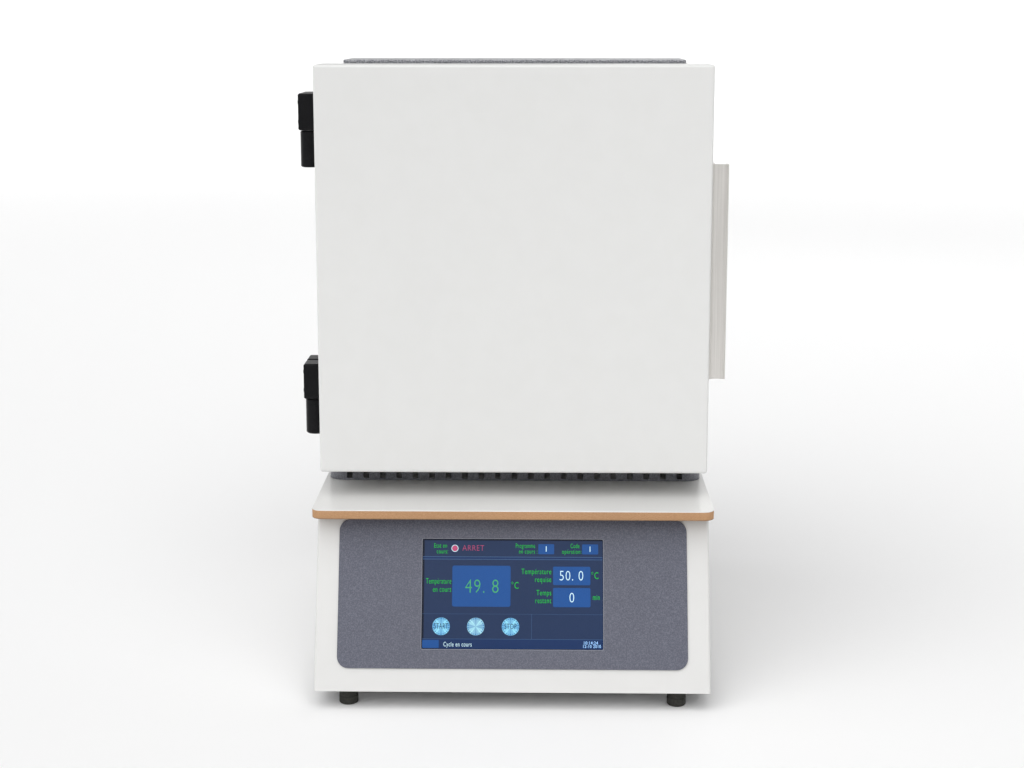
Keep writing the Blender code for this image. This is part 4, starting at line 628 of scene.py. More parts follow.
class Tone(Enum):
    """Colours of the lit display."""

    GROUND = pixels("ground", (0.017, 0.031, 0.075), 0.4)
    # Dark strips at the display's left and top: partly its dark border, partly painted shadow of the window's recess.
    BORDER = pixels("border", (0.008, 0.012, 0.026), 0.2)
    BAR = pixels("bar", (0.010, 0.0245, 0.077), 0.6)
    LINE = pixels("line", (0.033, 0.068, 0.147), 0.7)
    FIELD = pixels("field", (0.012, 0.054, 0.185), 0.8)
    GREEN = pixels("green", (0.010, 0.35, 0.022), 1.1)
    DIGITS = pixels("digits", (0.039, 0.22, 0.082), 1.1)
    WHITE = pixels("white", (0.345, 0.485, 0.54), 1.1)
    RED = pixels("red", (0.30, 0.048, 0.11), 1.0)
    CAPTION = pixels("caption", (0.003, 0.03, 0.10), 0.2)
    CLOCK = pixels("clock", (0.20, 0.36, 0.60), 1.1)
    BUTTON = replace(
        pixels("button", (0.010, 0.095, 0.29), 0.6), pattern=Pattern.GLARE, second=(0.20, 0.48, 0.61), per_metre=135.0,
    )
    BUTTON_LIT = replace(BUTTON, name="lit_button_pale", second=(0.27, 0.50, 0.56))


# ---- pieces


@contextmanager
def opened(mesh: bpy.types.Mesh) -> Iterator[bmesh.types.BMesh]:
    """Opens a mesh for editing, and writes the changes back at the end."""
    shape = bmesh.new()
    shape.from_mesh(mesh)
    yield shape
    shape.to_mesh(mesh)
    shape.free()


def added(name: str, data: bpy.types.ID) -> bpy.types.Object:
    """Puts a mesh, text, light or camera in the scene as an object."""
    obj = bpy.data.objects.new(name, data)
    bpy.context.scene.collection.objects.link(obj)
    return obj


class Workshop:
    """Turns surfaces into pieces that ride on the model's bodies."""

    def piece(
        self,
        name: str,
        surface: Surface,
        finish: Finish,
        body: Body = Body.FIXED,
        stands_for: Sequence[str] = (),
        uv: np.ndarray | None = None,
    ) -> bpy.types.Object:
        """Makes one piece in its place.

        Args:
            name: The piece's name.
            surface: Its points and faces.
            finish: Its material.
            body: The body that it moves with.
            stands_for: Nodes of the model that it replaces.
            uv: A place on the surface for each point, for a pattern that follows it.

        Returns:
            The new object.
        """
        mesh = bpy.data.meshes.new(name)
        mesh.from_pydata(surface[0].tolist(), [], surface[1])
        with opened(mesh) as shape:
            bmesh.ops.recalc_face_normals(shape, faces=shape.faces)
        if uv is not None:
            corners = np.zeros(len(mesh.loops), np.int32)
            mesh.loops.foreach_get("vertex_index", corners)
            mesh.uv_layers.new(name="along").data.foreach_set("uv", uv[corners].astype(np.float32).ravel())
        return self.place(name, mesh, finish, body, stands_for)

    def place(
        self, name: str, mesh: bpy.types.Mesh, finish: Finish, body: Body, stands_for: Sequence[str]
    ) -> bpy.types.Object:
        """Links a mesh as a piece, shaded smooth up to an angle."""
        mesh.materials.clear()
        mesh.materials.append(finish.material())
        mesh.shade_smooth()
        mesh.set_sharp_from_angle(angle=SMOOTH_ANGLE)
        obj = added(name, mesh)
        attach(obj, body.value)
        if stands_for:
            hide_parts(*stands_for)
        LOG.info("%s: %d faces", name, len(mesh.polygons))
        return obj

    def dress(self, finish: Finish, *nodes: str) -> None:
        """Gives nodes of the model their finish."""
        for name in nodes:
            mesh = bpy.data.objects[name].data
            mesh.materials.clear()
            mesh.materials.append(finish.material())
            LOG.info("%s: dressed", name)

    def soften(
        self,
        node: str,
        finish: Finish,
        width: float,
        body: Body = Body.FIXED,
        segments: int = 2,
        folds: Callable[[np.ndarray], bool] | None = None,
    ) -> bpy.types.Object:
        """A copy of a node with its edges rounded, which stands for it.

        Args:
            node: The node of the model.
            finish: Its material.
            width: Width of the rounding.
            body: The body that the node rides on.
            segments: Faces across the rounding.
            folds: Tells from an edge's two ends whether it is rounded. None rounds every sharp edge.

        Returns:
            The new object.
        """
        weld, flat = 1e-6, math.radians(0.5)
        mesh = bpy.data.objects[node].data.copy()
        with opened(mesh) as shape:
            bmesh.ops.remove_doubles(shape, verts=shape.verts, dist=weld)
            bmesh.ops.dissolve_limit(shape, angle_limit=flat, verts=shape.verts, edges=shape.edges)
            bmesh.ops.recalc_face_normals(shape, faces=shape.faces)
            if folds:
                weight = shape.edges.layers.float.new("bevel_weight_edge")
                for edge in shape.edges:
                    edge[weight] = float(folds(np.array([corner.co for corner in edge.verts])))
        obj = self.place(f"{node}_finished", mesh, finish, body, (node,))
        return self.round_edges(obj, width, segments, "WEIGHT" if folds else "ANGLE")

    def round_edges(
        self, obj: bpy.types.Object, width: float, segments: int = 2, limit: str = "ANGLE"
    ) -> bpy.types.Object:
        """Rounds a piece's sharp edges, or those with a bevel weight."""
        bevel = obj.modifiers.new("rounding", "BEVEL")
        bevel.width = width
        bevel.segments = segments
        bevel.limit_method = limit
        bevel.angle_limit = BEVEL_ANGLE
        bevel.harden_normals = True
        return obj

    def lettering(self, text: str, height: float, squeeze: float, weight: float) -> Surface:
        """Raised letters, lying in the XY plane with the middle of their line at the origin.

        Args:
            text: The words.
            height: Height of the font's line.
            squeeze: Width of the letters as a share of the font's own.
            weight: How far the outlines move outward, as a share of the height.

        Returns:
            Points and faces.
        """
        thickness, spacing, weld = 0.004, 1.1, 1e-7
        curve = bpy.data.curves.new("lettering", "FONT")
        curve.body = text
        curve.size = height
        curve.align_x = "CENTER"
        curve.align_y = "CENTER"
        curve.extrude = height * thickness
        curve.offset = height * weight
        curve.space_character = spacing
        curve.resolution_u = 3
        holder = added("lettering", curve)
        bpy.context.view_layer.update()
        evaluated = holder.evaluated_get(bpy.context.evaluated_depsgraph_get())
        mesh = bpy.data.meshes.new_from_object(evaluated)
        with opened(mesh) as shape:
            bmesh.ops.remove_doubles(shape, verts=shape.verts, dist=weld)
            points = np.array([corner.co for corner in shape.verts])
            shape.verts.index_update()
            faces = [[corner.index for corner in face.verts] for face in shape.faces]
        bpy.data.objects.remove(holder)
        bpy.data.meshes.remove(mesh)
        bpy.data.curves.remove(curve)
        points[:, 0] *= squeeze
        return points, faces


def box(node: str) -> tuple[np.ndarray, np.ndarray]:
    """Lowest and highest corner of a node of the model."""
    low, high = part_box(node)
    return np.array(low), np.array(high)


def border_places(node: str, inset: float, columns: int, rows: int) -> list[Point]:
    """Evenly spaced places round the border of an upright panel that faces +Y.

    Args:
        node: The panel.
        inset: How far inside its edges they lie.
        columns: Places along its foot and along its top.
        rows: Places along each side, with both corners.

    Returns:
        Points on the panel's outer face.
    """
    low, high = box(node)
    xs = np.linspace(low[0] + inset, high[0] - inset, columns)
    zs = np.linspace(low[2] + inset, high[2] - inset, rows)
    ends = [(x, high[1], z) for x in xs for z in (zs[0], zs[-1])]
    return ends + [(x, high[1], z) for x in (xs[0], xs[-1]) for z in zs[1:-1]]


@dataclass
class Screws:
    """Round-headed screws with a hexagon socket."""

    radius: float = 0.0032
    height: float = 0.0016
    socket: float = 0.0013
    depth: float = 0.0010

    def heads(self, places: Iterable[Sequence[float]], axis: str, outward: int) -> Surface:
        """Heads at places on a flat sheet.

        Args:
            places: Where each head meets the sheet.
            axis: The axis of the screws.
            outward: 1 or -1, the way the heads stand along it.

        Returns:
            Points and faces of all the heads.
        """
        turn = np.linspace(0, QUARTER, 5)
        rim = self.height * 0.35
        dome = self.radius - self.socket * 1.5
        profile = [(self.radius, -0.0003), (self.radius, rim)]
        profile += [
            (self.radius - dome * (1 - math.cos(part)), rim + (self.height - rim) * math.sin(part))
            for part in turn[1:]
        ]
        profile += [(self.socket, self.height), (self.socket, self.height - self.depth)]
        profile = [(radius, outward * height) for radius, height in profile]
        hexagons = (len(profile) - 2, len(profile) - 1)
        return merged(turned(profile, place, axis, 24, hexagons) for place in places)


@dataclass(frozen=True)
class Foot:
    """Sizes of a turned foot: a grooved body under a wider flange."""

    body_share: float = 0.885
    edge: float = 0.0016
    groove: float = 0.0005
    groove_shares: tuple[float, float, float, float] = (0.42, 0.45, 0.50, 0.53)
    flange: float = 0.0031
    flange_edge: float = 0.0005
    neck: float = 0.0003
    top_edge: float = 0.0004
    sides: int = 48

    def profile(self, wide: float, tall: float) -> list[tuple[float, float]]:
        """The foot's side, from the floor up.

        Args:
            wide: Radius of the flange.
            tall: Height of the foot.

        Returns:
            Points of radius and height.
        """
        body = wide * self.body_share
        inner = body - self.groove
        start, deep_start, deep_end, end = (tall * share for share in self.groove_shares)
        sole = [
            (body - self.edge * (1 - math.sin(turn)), self.edge * (1 - math.cos(turn)))
            for turn in np.linspace(0, QUARTER, 5)
        ]
        return [
            *sole, (body, start), (inner, deep_start), (inner, deep_end), (body, end),
            (body, tall - self.flange - self.neck), (wide - self.flange_edge, tall - self.flange),
            (wide, tall - self.flange + self.flange_edge), (wide, tall - self.top_edge), (wide - self.top_edge, tall),
        ]


@dataclass
class BaseUnit:
    """The folded base with its floor, rear panel and feet."""

    shop: Workshop
    bend: float = 0.0022
    full_width_share: float = 0.9
    sheet_edge: float = 0.0003
    screw_inset: float = 0.009
    foot: Foot = Foot()
    screws: Screws = field(default_factory=Screws)

    def casing(self) -> None:
        """The folded shell, round along its folds."""
        low, high = box("base_casing")

        def folds(ends: np.ndarray) -> bool:
            """True for the outer edges of the deck's front and sides and of the sloped front."""
            side = np.abs(np.abs(ends[:, 0] - (low[0] + high[0]) / 2) - (high[0] - low[0]) / 2) < CLOSE
            deck = np.abs(ends[:, 2] - high[2]) < CLOSE
            run = np.abs(ends[0] - ends[1])
            along_side = side.all() and deck.all() and run[1] > run[2]
            corner = side.all() and run[2] > run[1] > CLOSE
            front = deck.all() and run[0] > (high[0] - low[0]) * self.full_width_share and ends[:, 1].max() < 0
            return bool(along_side or corner or front)

        # The shell takes the white coat with painted shade.
        self.shop.soften("base_casing", WHITE_WITH_PAINTED_SHADE, self.bend, segments=4, folds=folds)

    def rear(self) -> None:
        """Rear panel with its screws."""
        self.shop.soften("base_rear_panel", HAMMERTONE, self.sheet_edge)
        places = border_places("base_rear_panel", self.screw_inset, 5, 2)
        self.shop.piece("base_rear_screws", self.screws.heads(places, "Y", 1), SCREW)

    def feet(self) -> None:
        """Turned feet with a flange and a grooved side."""
        for row in ("front", "rear"):
            for side in ("left", "right"):
                node = f"foot_{row}_{side}"
                low, high = box(node)
                centre = ((low[0] + high[0]) / 2, (low[1] + high[1]) / 2, low[2])
                profile = self.foot.profile((high[0] - low[0]) / 2, high[2] - low[2])
                surface = turned(profile, centre, "Z", self.foot.sides)
                self.shop.piece(f"{node}_turned", surface, RUBBER, stands_for=(node,))

    def build(self) -> None:
        """Makes the whole base."""
        self.casing()
        self.rear()
        self.feet()
        for finish, *nodes in (
            (STEEL, "base_floor", "power_supply"), (EXTRUDED, "power_controller"), (IRON, "transformer_core"),
            (COPPER, "transformer_coil"), (CIRCUIT, "controller_board"), (PLASTIC, "display_module"),
        ):
            self.shop.dress(finish, *nodes)


@dataclass(frozen=True)
class Slope:
    """The sloped front: a frame whose X runs across, whose Z runs up the slope and whose -Y faces out."""

    toe: Point
    angle: float

    def lay(self, surface: Surface) -> Surface:
        """Carries a surface from the slope's own frame to its place: a turn about X and a shift."""
        return moved(swung(surface, -self.angle), self.toe)


@dataclass(frozen=True)
class Area:
    """A rectangle of the display in shares of its width and height, from the top left."""

    left: float
    top: float
    right: float
    bottom: float


@dataclass(frozen=True)
class Words:
    """A line of text on the display: where its middle or right end is, its size, its width and its weight."""

    text: str
    across: float
    down: float
    height: float
    tone: Tone
    squeeze: float = 0.66
    to_right: bool = True
    weight: float = -0.011


@dataclass(frozen=True)
class Dome:
    """Sizes of a low round mark: its radius, its height and the width of its rim."""

    radius: float
    rise: float
    rim: float


@dataclass
class ControlPanel:
    """The dark plate, the cover glass and what the display shows."""

    shop: Workshop
    centre_x: float = 0.0021
    toe_y: float = -0.238
    toe_z: float = 0.018
    slope: float = math.radians(19.35)
    plate_half: float = 0.16835
    plate_low: float = 0.0218
    plate_high: float = 0.16403
    plate_corner: float = 0.011
    plate_edge: float = 0.0004
    plate_front: float = -0.0015
    plate_back: float = -0.0003
    screen_wide: float = 0.1744
    screen_tall: float = 0.1046
    glass_front: float = -0.0011
    glass_back: float = 0.0004
    glass_corner: float = 0.0004
    glass_edge: float = 0.0002
    window_gap: float = 0.0003
    window_corner: float = 0.0007
    highlight_width: float = 0.0004
    highlight_corners: tuple[float, float] = (0.0010, 0.0006)
    layer: float = 0.00004
    word_layers: int = 4
    caption_lift: float = 0.0004
    button: Dome = Dome(0.0084, 0.00035, 0.0007)
    lamp_ring: Dome = Dome(0.0034, 0.0001, 0.0004)
    lamp: Dome = Dome(0.0028, 0.0002, 0.0002)

    def frame(self) -> Slope:
        """The slope that everything here lies on."""
        return Slope((self.centre_x, self.toe_y, self.toe_z), self.slope)

    def middle(self) -> float:
        """Height of the display's middle up the slope."""
        return (self.plate_low + self.plate_high) / 2

    def outline(self, margin: float) -> tuple[tuple[float, float], tuple[float, float]]:
        """Lowest and highest corner of the screen, set out by a margin."""
        half, tall = self.screen_wide / 2 + margin, self.screen_tall / 2 + margin
        return (-half, self.middle() - tall), (half, self.middle() + tall)

    def plate(self) -> None:
        """Plate with a window, its edges just broken."""
        outer = ((-self.plate_half, self.plate_low), (self.plate_half, self.plate_high))
        corners = (self.plate_corner, self.window_corner)
        window = self.outline(self.window_gap)
        surface = framed(outer, window, self.plate_front, self.plate_back, corners, self.plate_edge)
        self.shop.piece("control_plate_face", self.frame().lay(surface), PLATE, stands_for=("control_plate",))

    def glass(self) -> None:
        """Cover glass, with the display's dark ground as its colour."""
        (left, foot), (right, head) = self.outline(0.0)
        low, high = (left, self.glass_front, foot), (right, self.glass_back, head)
        surface = slab(low, high, "Y", self.glass_corner, self.glass_edge, 4)
        self.shop.piece("screen_face", self.frame().lay(surface), Tone.GROUND.value, stands_for=("screen_glass",))

    def spot(self, across: float, down: float) -> tuple[float, float]:
        """A share of the display's width and height as X and height up the slope."""
        return (across - 0.5) * self.screen_wide, self.middle() + (0.5 - down) * self.screen_tall

    def patch(self, area: Area, level: int, corner: float = 0.0001) -> Surface:
        """A thin field on the glass, some layers up."""
        left, top = self.spot(area.left, area.top)
        right, bottom = self.spot(area.right, area.bottom)
        front = self.glass_front - level * self.layer
        return slab((left, front, bottom), (right, self.glass_front, top), "Y", corner, self.layer / 4, 4)

    def painted_edge_highlight(self) -> None:
        """The pale ring round the plate's window, painted lighter as a highlight that stands in for the light its edge
        catches.
        """
        outer, inner = self.outline(self.window_gap + self.highlight_width), self.outline(self.window_gap)
        near, far = self.plate_front - self.layer / 2, self.glass_front + self.glass_edge
        surface = framed(outer, inner, near, far, self.highlight_corners, self.layer)
        self.shop.piece("window_painted_highlight", self.frame().lay(surface), EDGE_PAINTED_HIGHLIGHT)

    def fields(self) -> None:
        """Dark border strips, partly painted recess shadow, then fields, lines and bars of the display."""
        # The dark strips lie only along the left and top: partly the display's dark border, partly painted shadow of
        # the window's recess.
        border = [Area(0.0, 0.0, 0.0105, 1.0), Area(0.0105, 0.0, 1.0, 0.013)]
        self.lay("display_border_and_shadow", [self.patch(area, 1) for area in border], Tone.BORDER)
        pale = [
            Area(0.002, 0.159, 0.998, 0.166),
            Area(0.002, 0.181, 0.998, 0.188),
            Area(0.002, 0.682, 0.998, 0.6845),
            Area(0.605, 0.6845, 0.607, 0.908),
            Area(0.002, 0.908, 0.998, 0.912),
        ]
        self.lay("display_lines", [self.patch(area, 2) for area in pale], Tone.LINE)
        bars = [Area(0.002, 0.166, 0.998, 0.181), Area(0.002, 0.912, 0.998, 0.998)]
        self.lay("display_bars", [self.patch(area, 1) for area in bars], Tone.BAR)
        fields = [
            (Area(0.642, 0.043, 0.730, 0.135), 0.0008),
            (Area(0.885, 0.043, 0.974, 0.135), 0.0008),
            (Area(0.166, 0.243, 0.489, 0.617), 0.0020),
            (Area(0.724, 0.248, 0.931, 0.417), 0.0014),
            (Area(0.724, 0.442, 0.931, 0.617), 0.0014),
            (Area(0.004, 0.920, 0.095, 0.992), 0.0006),
        ]
        self.lay("display_fields", [self.patch(area, 3, corner) for area, corner in fields], Tone.FIELD)

    def lay(self, name: str, surfaces: Sequence[Surface], tone: Tone) -> None:
        """Puts surfaces of the slope's frame on the display as one piece, with a place about each one's middle."""
        middles = [(part.min(axis=0) + part.max(axis=0)) / 2 for part, _ in surfaces]
        uv = np.concatenate([(part - middle)[:, [0, 2]] for (part, _), middle in zip(surfaces, middles)])
        self.shop.piece(name, self.frame().lay(merged(surfaces)), tone.value, uv=uv)

    def disc(self, place: tuple[float, float], dome: Dome) -> Surface:
        """A low domed mark: its height falls off with the square of the radius inside a rim."""
        x, z = self.spot(*place)
        side, valley, least = 0.7, 0.55, 0.02
        inner = dome.radius - dome.rim
        profile = [(dome.radius, 0.0), (dome.radius, -dome.rise * side)]
        profile += [(dome.radius - dome.rim / 2, -dome.rise), (inner, -dome.rise * valley)]
        profile += [
            (inner * share, -dome.rise * (valley + (1 - valley) * (1 - share * share)))
            for share in np.linspace(1.0, least, 9)[1:]
        ]
        return turned(profile, (x, self.glass_front, z), "Y", 48)

    def marks(self) -> None:
        """Round buttons and the red state lamp in its white ring."""
        start, plain, stop = ((across, 0.797) for across in (0.107, 0.298, 0.490))
        state = (0.179, 0.085)
        self.lay("display_buttons", [self.disc(place, self.button) for place in (start, stop)], Tone.BUTTON)
        self.lay("display_button_plain", [self.disc(plain, self.button)], Tone.BUTTON_LIT)
        self.lay("display_lamp_ring", [self.disc(state, self.lamp_ring)], Tone.WHITE)
        self.lay("display_lamp", [self.disc(state, self.lamp)], Tone.RED)

    def words(self) -> None:
        """Numbers and plain words of the display."""
        small, label, large, number = 0.0062, 0.0075, 0.0190, 0.0136
        lines = [
            Words("Etat en", 0.134, 0.062, small, Tone.GREEN),
            Words("cours:", 0.140, 0.115, small, Tone.GREEN),
            Words("ARRET", 0.281, 0.084, 0.0078, Tone.RED, 0.86, False, -0.018),
            Words("Programme", 0.624, 0.060, small, Tone.GREEN, 0.60),
            Words("en cours :", 0.637, 0.112, small, Tone.GREEN),
            Words("Code", 0.870, 0.060, small, Tone.GREEN, 0.60),
            Words("opération:", 0.880, 0.112, small, Tone.GREEN),
            Words("1", 0.686, 0.087, 0.0072, Tone.WHITE, 0.9, False, 0.014),
            Words("1", 0.929, 0.087, 0.0072, Tone.WHITE, 0.9, False, 0.014),
            Words("Température", 0.160, 0.388, label, Tone.GREEN, 0.56),
            Words("en cours", 0.160, 0.462, label, Tone.GREEN, 0.62),
            Words("Température", 0.714, 0.296, label, Tone.GREEN),
            Words("requise", 0.714, 0.368, label, Tone.GREEN),
            Words("Temps", 0.714, 0.489, label, Tone.GREEN),
            Words("restant", 0.714, 0.560, label, Tone.GREEN),
            Words("49. 8", 0.330, 0.430, large, Tone.DIGITS, 0.80, False, -0.014),
            Words("°C", 0.514, 0.425, 0.0092, Tone.GREEN, 0.72, False),
            Words("50. 0", 0.826, 0.330, number, Tone.WHITE, 0.80, False),
            Words("°C", 0.956, 0.332, 0.0092, Tone.GREEN, 0.72, False),
            Words("0", 0.828, 0.530, number, Tone.WHITE, 0.80, False),
            Words("min", 0.963, 0.528, 0.0080, Tone.GREEN, 0.55, False),
            Words("START", 0.107, 0.797, label, Tone.CAPTION, 0.58, False, 0.0),
            Words("STOP", 0.490, 0.797, label, Tone.CAPTION, 0.62, False, 0.0),
            Words("Cycle en cours", 0.277, 0.960, small, Tone.WHITE, 0.66, True, 0.0),
            Words("10:14:24", 0.972, 0.939, 0.0042, Tone.CLOCK, 0.9, True, 0.012),
            Words("12-10 2010", 0.988, 0.970, 0.0042, Tone.CLOCK, 0.84, True, 0.012),
        ]
        for tone in (Tone.GREEN, Tone.DIGITS, Tone.WHITE, Tone.RED, Tone.CAPTION, Tone.CLOCK):
            surfaces = [self.line(words) for words in lines if words.tone is tone]
            self.lay(f"display_words_{tone.name.lower()}", surfaces, tone)

    def line(self, words: Words) -> Surface:
        """One line of text, stood up against the glass."""
        surface = self.shop.lettering(words.text, words.height, words.squeeze, words.weight)
        x, y, z = surface[0].T
        across, up = self.spot(words.across, words.down)
        shift = across - (x.max() if words.to_right else (x.max() + x.min()) / 2)
        lift = self.caption_lift if words.tone is Tone.CAPTION else self.word_layers * self.layer
        middle = (y.max() + y.min()) / 2 if words.text[0].isdigit() else 0.0
        points = np.stack([x + shift, self.glass_front - lift - z, up + y - middle], axis=1)
        return points, surface[1]

    def build(self) -> None:
        """Makes the whole panel."""
        self.plate()
        self.painted_edge_highlight()
        self.glass()
        self.fields()
        self.marks()
        self.words()


@dataclass
class Worktop:
    """The board: a fibreboard core with a pale laminate on top and a brown backing sheet below."""

    shop: Workshop
    corner: float = 0.010
    laminate: float = 0.0008
    edge: float = 0.0004

    def build(self) -> None:
        """Makes the core, the laminate and the backing sheet."""
        low, high = box("worktop_board")
        top = np.array([high[0], high[1], high[2] - self.laminate])
        bottom = np.array([low[0], low[1], low[2] + self.laminate])
        self.shop.piece("board_core", slab(bottom, top, "Z", self.corner, self.edge / 4), CORE)
        sheet_low = np.array([low[0], low[1], top[2]])
        sheet = slab(sheet_low, high, "Z", self.corner, 0.0001, far_edge=self.edge)
        self.shop.piece("board_laminate_top", sheet, LAMINATE, stands_for=("worktop_board",))
        under = np.array([high[0], high[1], bottom[2]])
        self.shop.piece("board_backing_under", slab(low, under, "Z", self.corner, self.edge, far_edge=0.0001), BACKING)


@dataclass
class ChamberCasing:
    """The dark casing round the insulation, with its lid, vent cover, floor and rear panel."""

    shop: Workshop
    screws: Screws = field(default_factory=Screws)
    inset: float = 0.010
    side_start: float = 0.045
    side_level: float = 0.032
    lid_inset: float = 0.020
    sheet_edge: float = 0.0003
    cover_edge: float = 0.0011

    def sheets(self) -> None:
        """The sheets, with broken edges."""
        for node in ("casing_wrap", "casing_top", "casing_rear_panel"):
            self.shop.soften(node, HAMMERTONE, self.sheet_edge)
        low, high = box("top_vent_cover")

        def folds(ends: np.ndarray) -> bool:
            """True for the edges round the cover's top and its upright front corners."""
            on_edge = np.abs(np.abs(ends[:, :2] - (low + high)[:2] / 2) - (high - low)[:2] / 2) < CLOSE
            at_top = np.abs(ends[:, 2] - high[2]) < CLOSE
            return bool((at_top.all() and on_edge.all(axis=0).any()) or on_edge.all())

        # The vent cover takes the lighter hammertone with painted glints.
        self.shop.soften("top_vent_cover", HAMMERTONE_WITH_PAINTED_LIGHT, self.cover_edge, segments=3, folds=folds)
        # The casing floor takes the dark steel, painted shade behind the vent slots.
        self.shop.dress(STEEL_WITH_PAINTED_SHADE, "casing_floor")

    def fasteners(self) -> None:
        """Screws round the rear panel, along the lid's back and low on both sides."""
        places = border_places("casing_rear_panel", self.inset, 5, 6)
        self.shop.piece("casing_rear_screws", self.screws.heads(places, "Y", 1), SCREW)
        low, high = box("casing_wrap")
        ys = np.linspace(low[1] + self.side_start, high[1] - self.inset, 4)
        level = low[2] + self.side_level
        for name, x, way in (("left", low[0], -1), ("right", high[0], 1)):
            places = [(x, y, level) for y in ys]
            self.shop.piece(f"casing_{name}_screws", self.screws.heads(places, "X", way), SCREW)
        low, high = box("casing_top")
        xs = np.linspace(low[0] + self.lid_inset, high[0] - self.lid_inset, 4)
        places = [(x, high[1] - self.inset, high[2]) for x in xs]
        self.shop.piece("casing_top_screws", self.screws.heads(places, "Z", 1), SCREW)

    def build(self) -> None:
        """Makes the casing."""
        self.sheets()
        self.fasteners()


@dataclass
class Lining:
    """Insulation slabs, hearth, heating elements and what holds and feeds them."""

    shop: Workshop
    cold: float = 0.006
    hot: float = 0.003
    half_pitch: float = 0.0125
    bend_z: float = 0.3376
    thick_z: float = 0.4609
    taper: float = 0.015
    row_steps: int = 10
    run_in: float = 0.001
    fibre_edge: float = 0.0016
    hearth_corner: float = 0.004
    hearth_edge: float = 0.0012
    carrier_edge: float = 0.0004
    probe_edge: float = 0.0008

    def slabs(self) -> None:
        """Fibre slabs with worn edges."""
        for side in ("floor", "left", "right", "rear", "roof"):
            self.shop.soften(f"insulation_{side}", FIBRE, self.fibre_edge, segments=3)
        low, high = box("hearth_plate")
        plate = slab(low, high, "Z", self.hearth_corner, self.hearth_edge)
        self.shop.piece("hearth_plate_fired", plate, CERAMIC, stands_for=("hearth_plate",))

    def element(self, node: str) -> None:
        """One U-shaped rod: straight cold ends, a smooth taper and a half-circle bend."""
        low, high = box(node)
        x, y = (low[0] + high[0]) / 2, (low[1] + high[1]) / 2
        blend = np.linspace(0, 1, self.row_steps)
        heights = np.concatenate([[high[2]], self.thick_z - self.taper * blend, [self.bend_z + self.run_in]])
        swell = self.hot + (self.cold - self.hot) * (0.5 + 0.5 * np.cos(math.pi * blend))
        leg_radii = np.concatenate([[self.cold], swell, [self.hot]])
        turn = np.linspace(math.pi, math.tau, 2 * self.row_steps)
        bend = np.stack([y + self.half_pitch * np.cos(turn), self.bend_z + self.half_pitch * np.sin(turn)])
        near, far = (np.full(heights.size, y + way * self.half_pitch) for way in (-1, 1))
        ys = np.concatenate([near, bend[0], far])
        zs = np.concatenate([heights, bend[1], heights[::-1]])
        radii = np.concatenate([leg_radii, np.full(turn.size, self.hot), leg_radii[::-1]])
        path = np.stack([np.full(ys.size, x), ys, zs], axis=1)
        self.shop.piece(f"{node}_rod", tube(path, radii, (1.0, 0.0, 0.0)), ELEMENT, stands_for=(node,))

    def build(self) -> None:
        """Makes the lining."""
        self.slabs()
        for side in ("left", "right"):
            for row in ("front", "rear"):
                self.element(f"heating_element_{side}_{row}")
        self.shop.soften("element_carrier", CERAMIC, self.carrier_edge)
        self.shop.soften("thermocouple", CERAMIC, self.probe_edge, segments=3)
        self.shop.dress(BRAID, "element_strap_left", "element_strap_right", "element_strap_cross")
        self.shop.dress(SLEEVE, "power_lead_left", "power_lead_right")


@dataclass(frozen=True)
class Grip:
    """Sizes of the handle's section."""

    web: float = 0.0028
    hollow: float = 0.0020
    lip: float = 0.0024
    lip_depth: float = 0.0100
    flange: float = 0.0026
    bead: float = 0.0012
    groove: float = 0.0004
    edge: float = 0.00018
    screw_share: float = 0.42


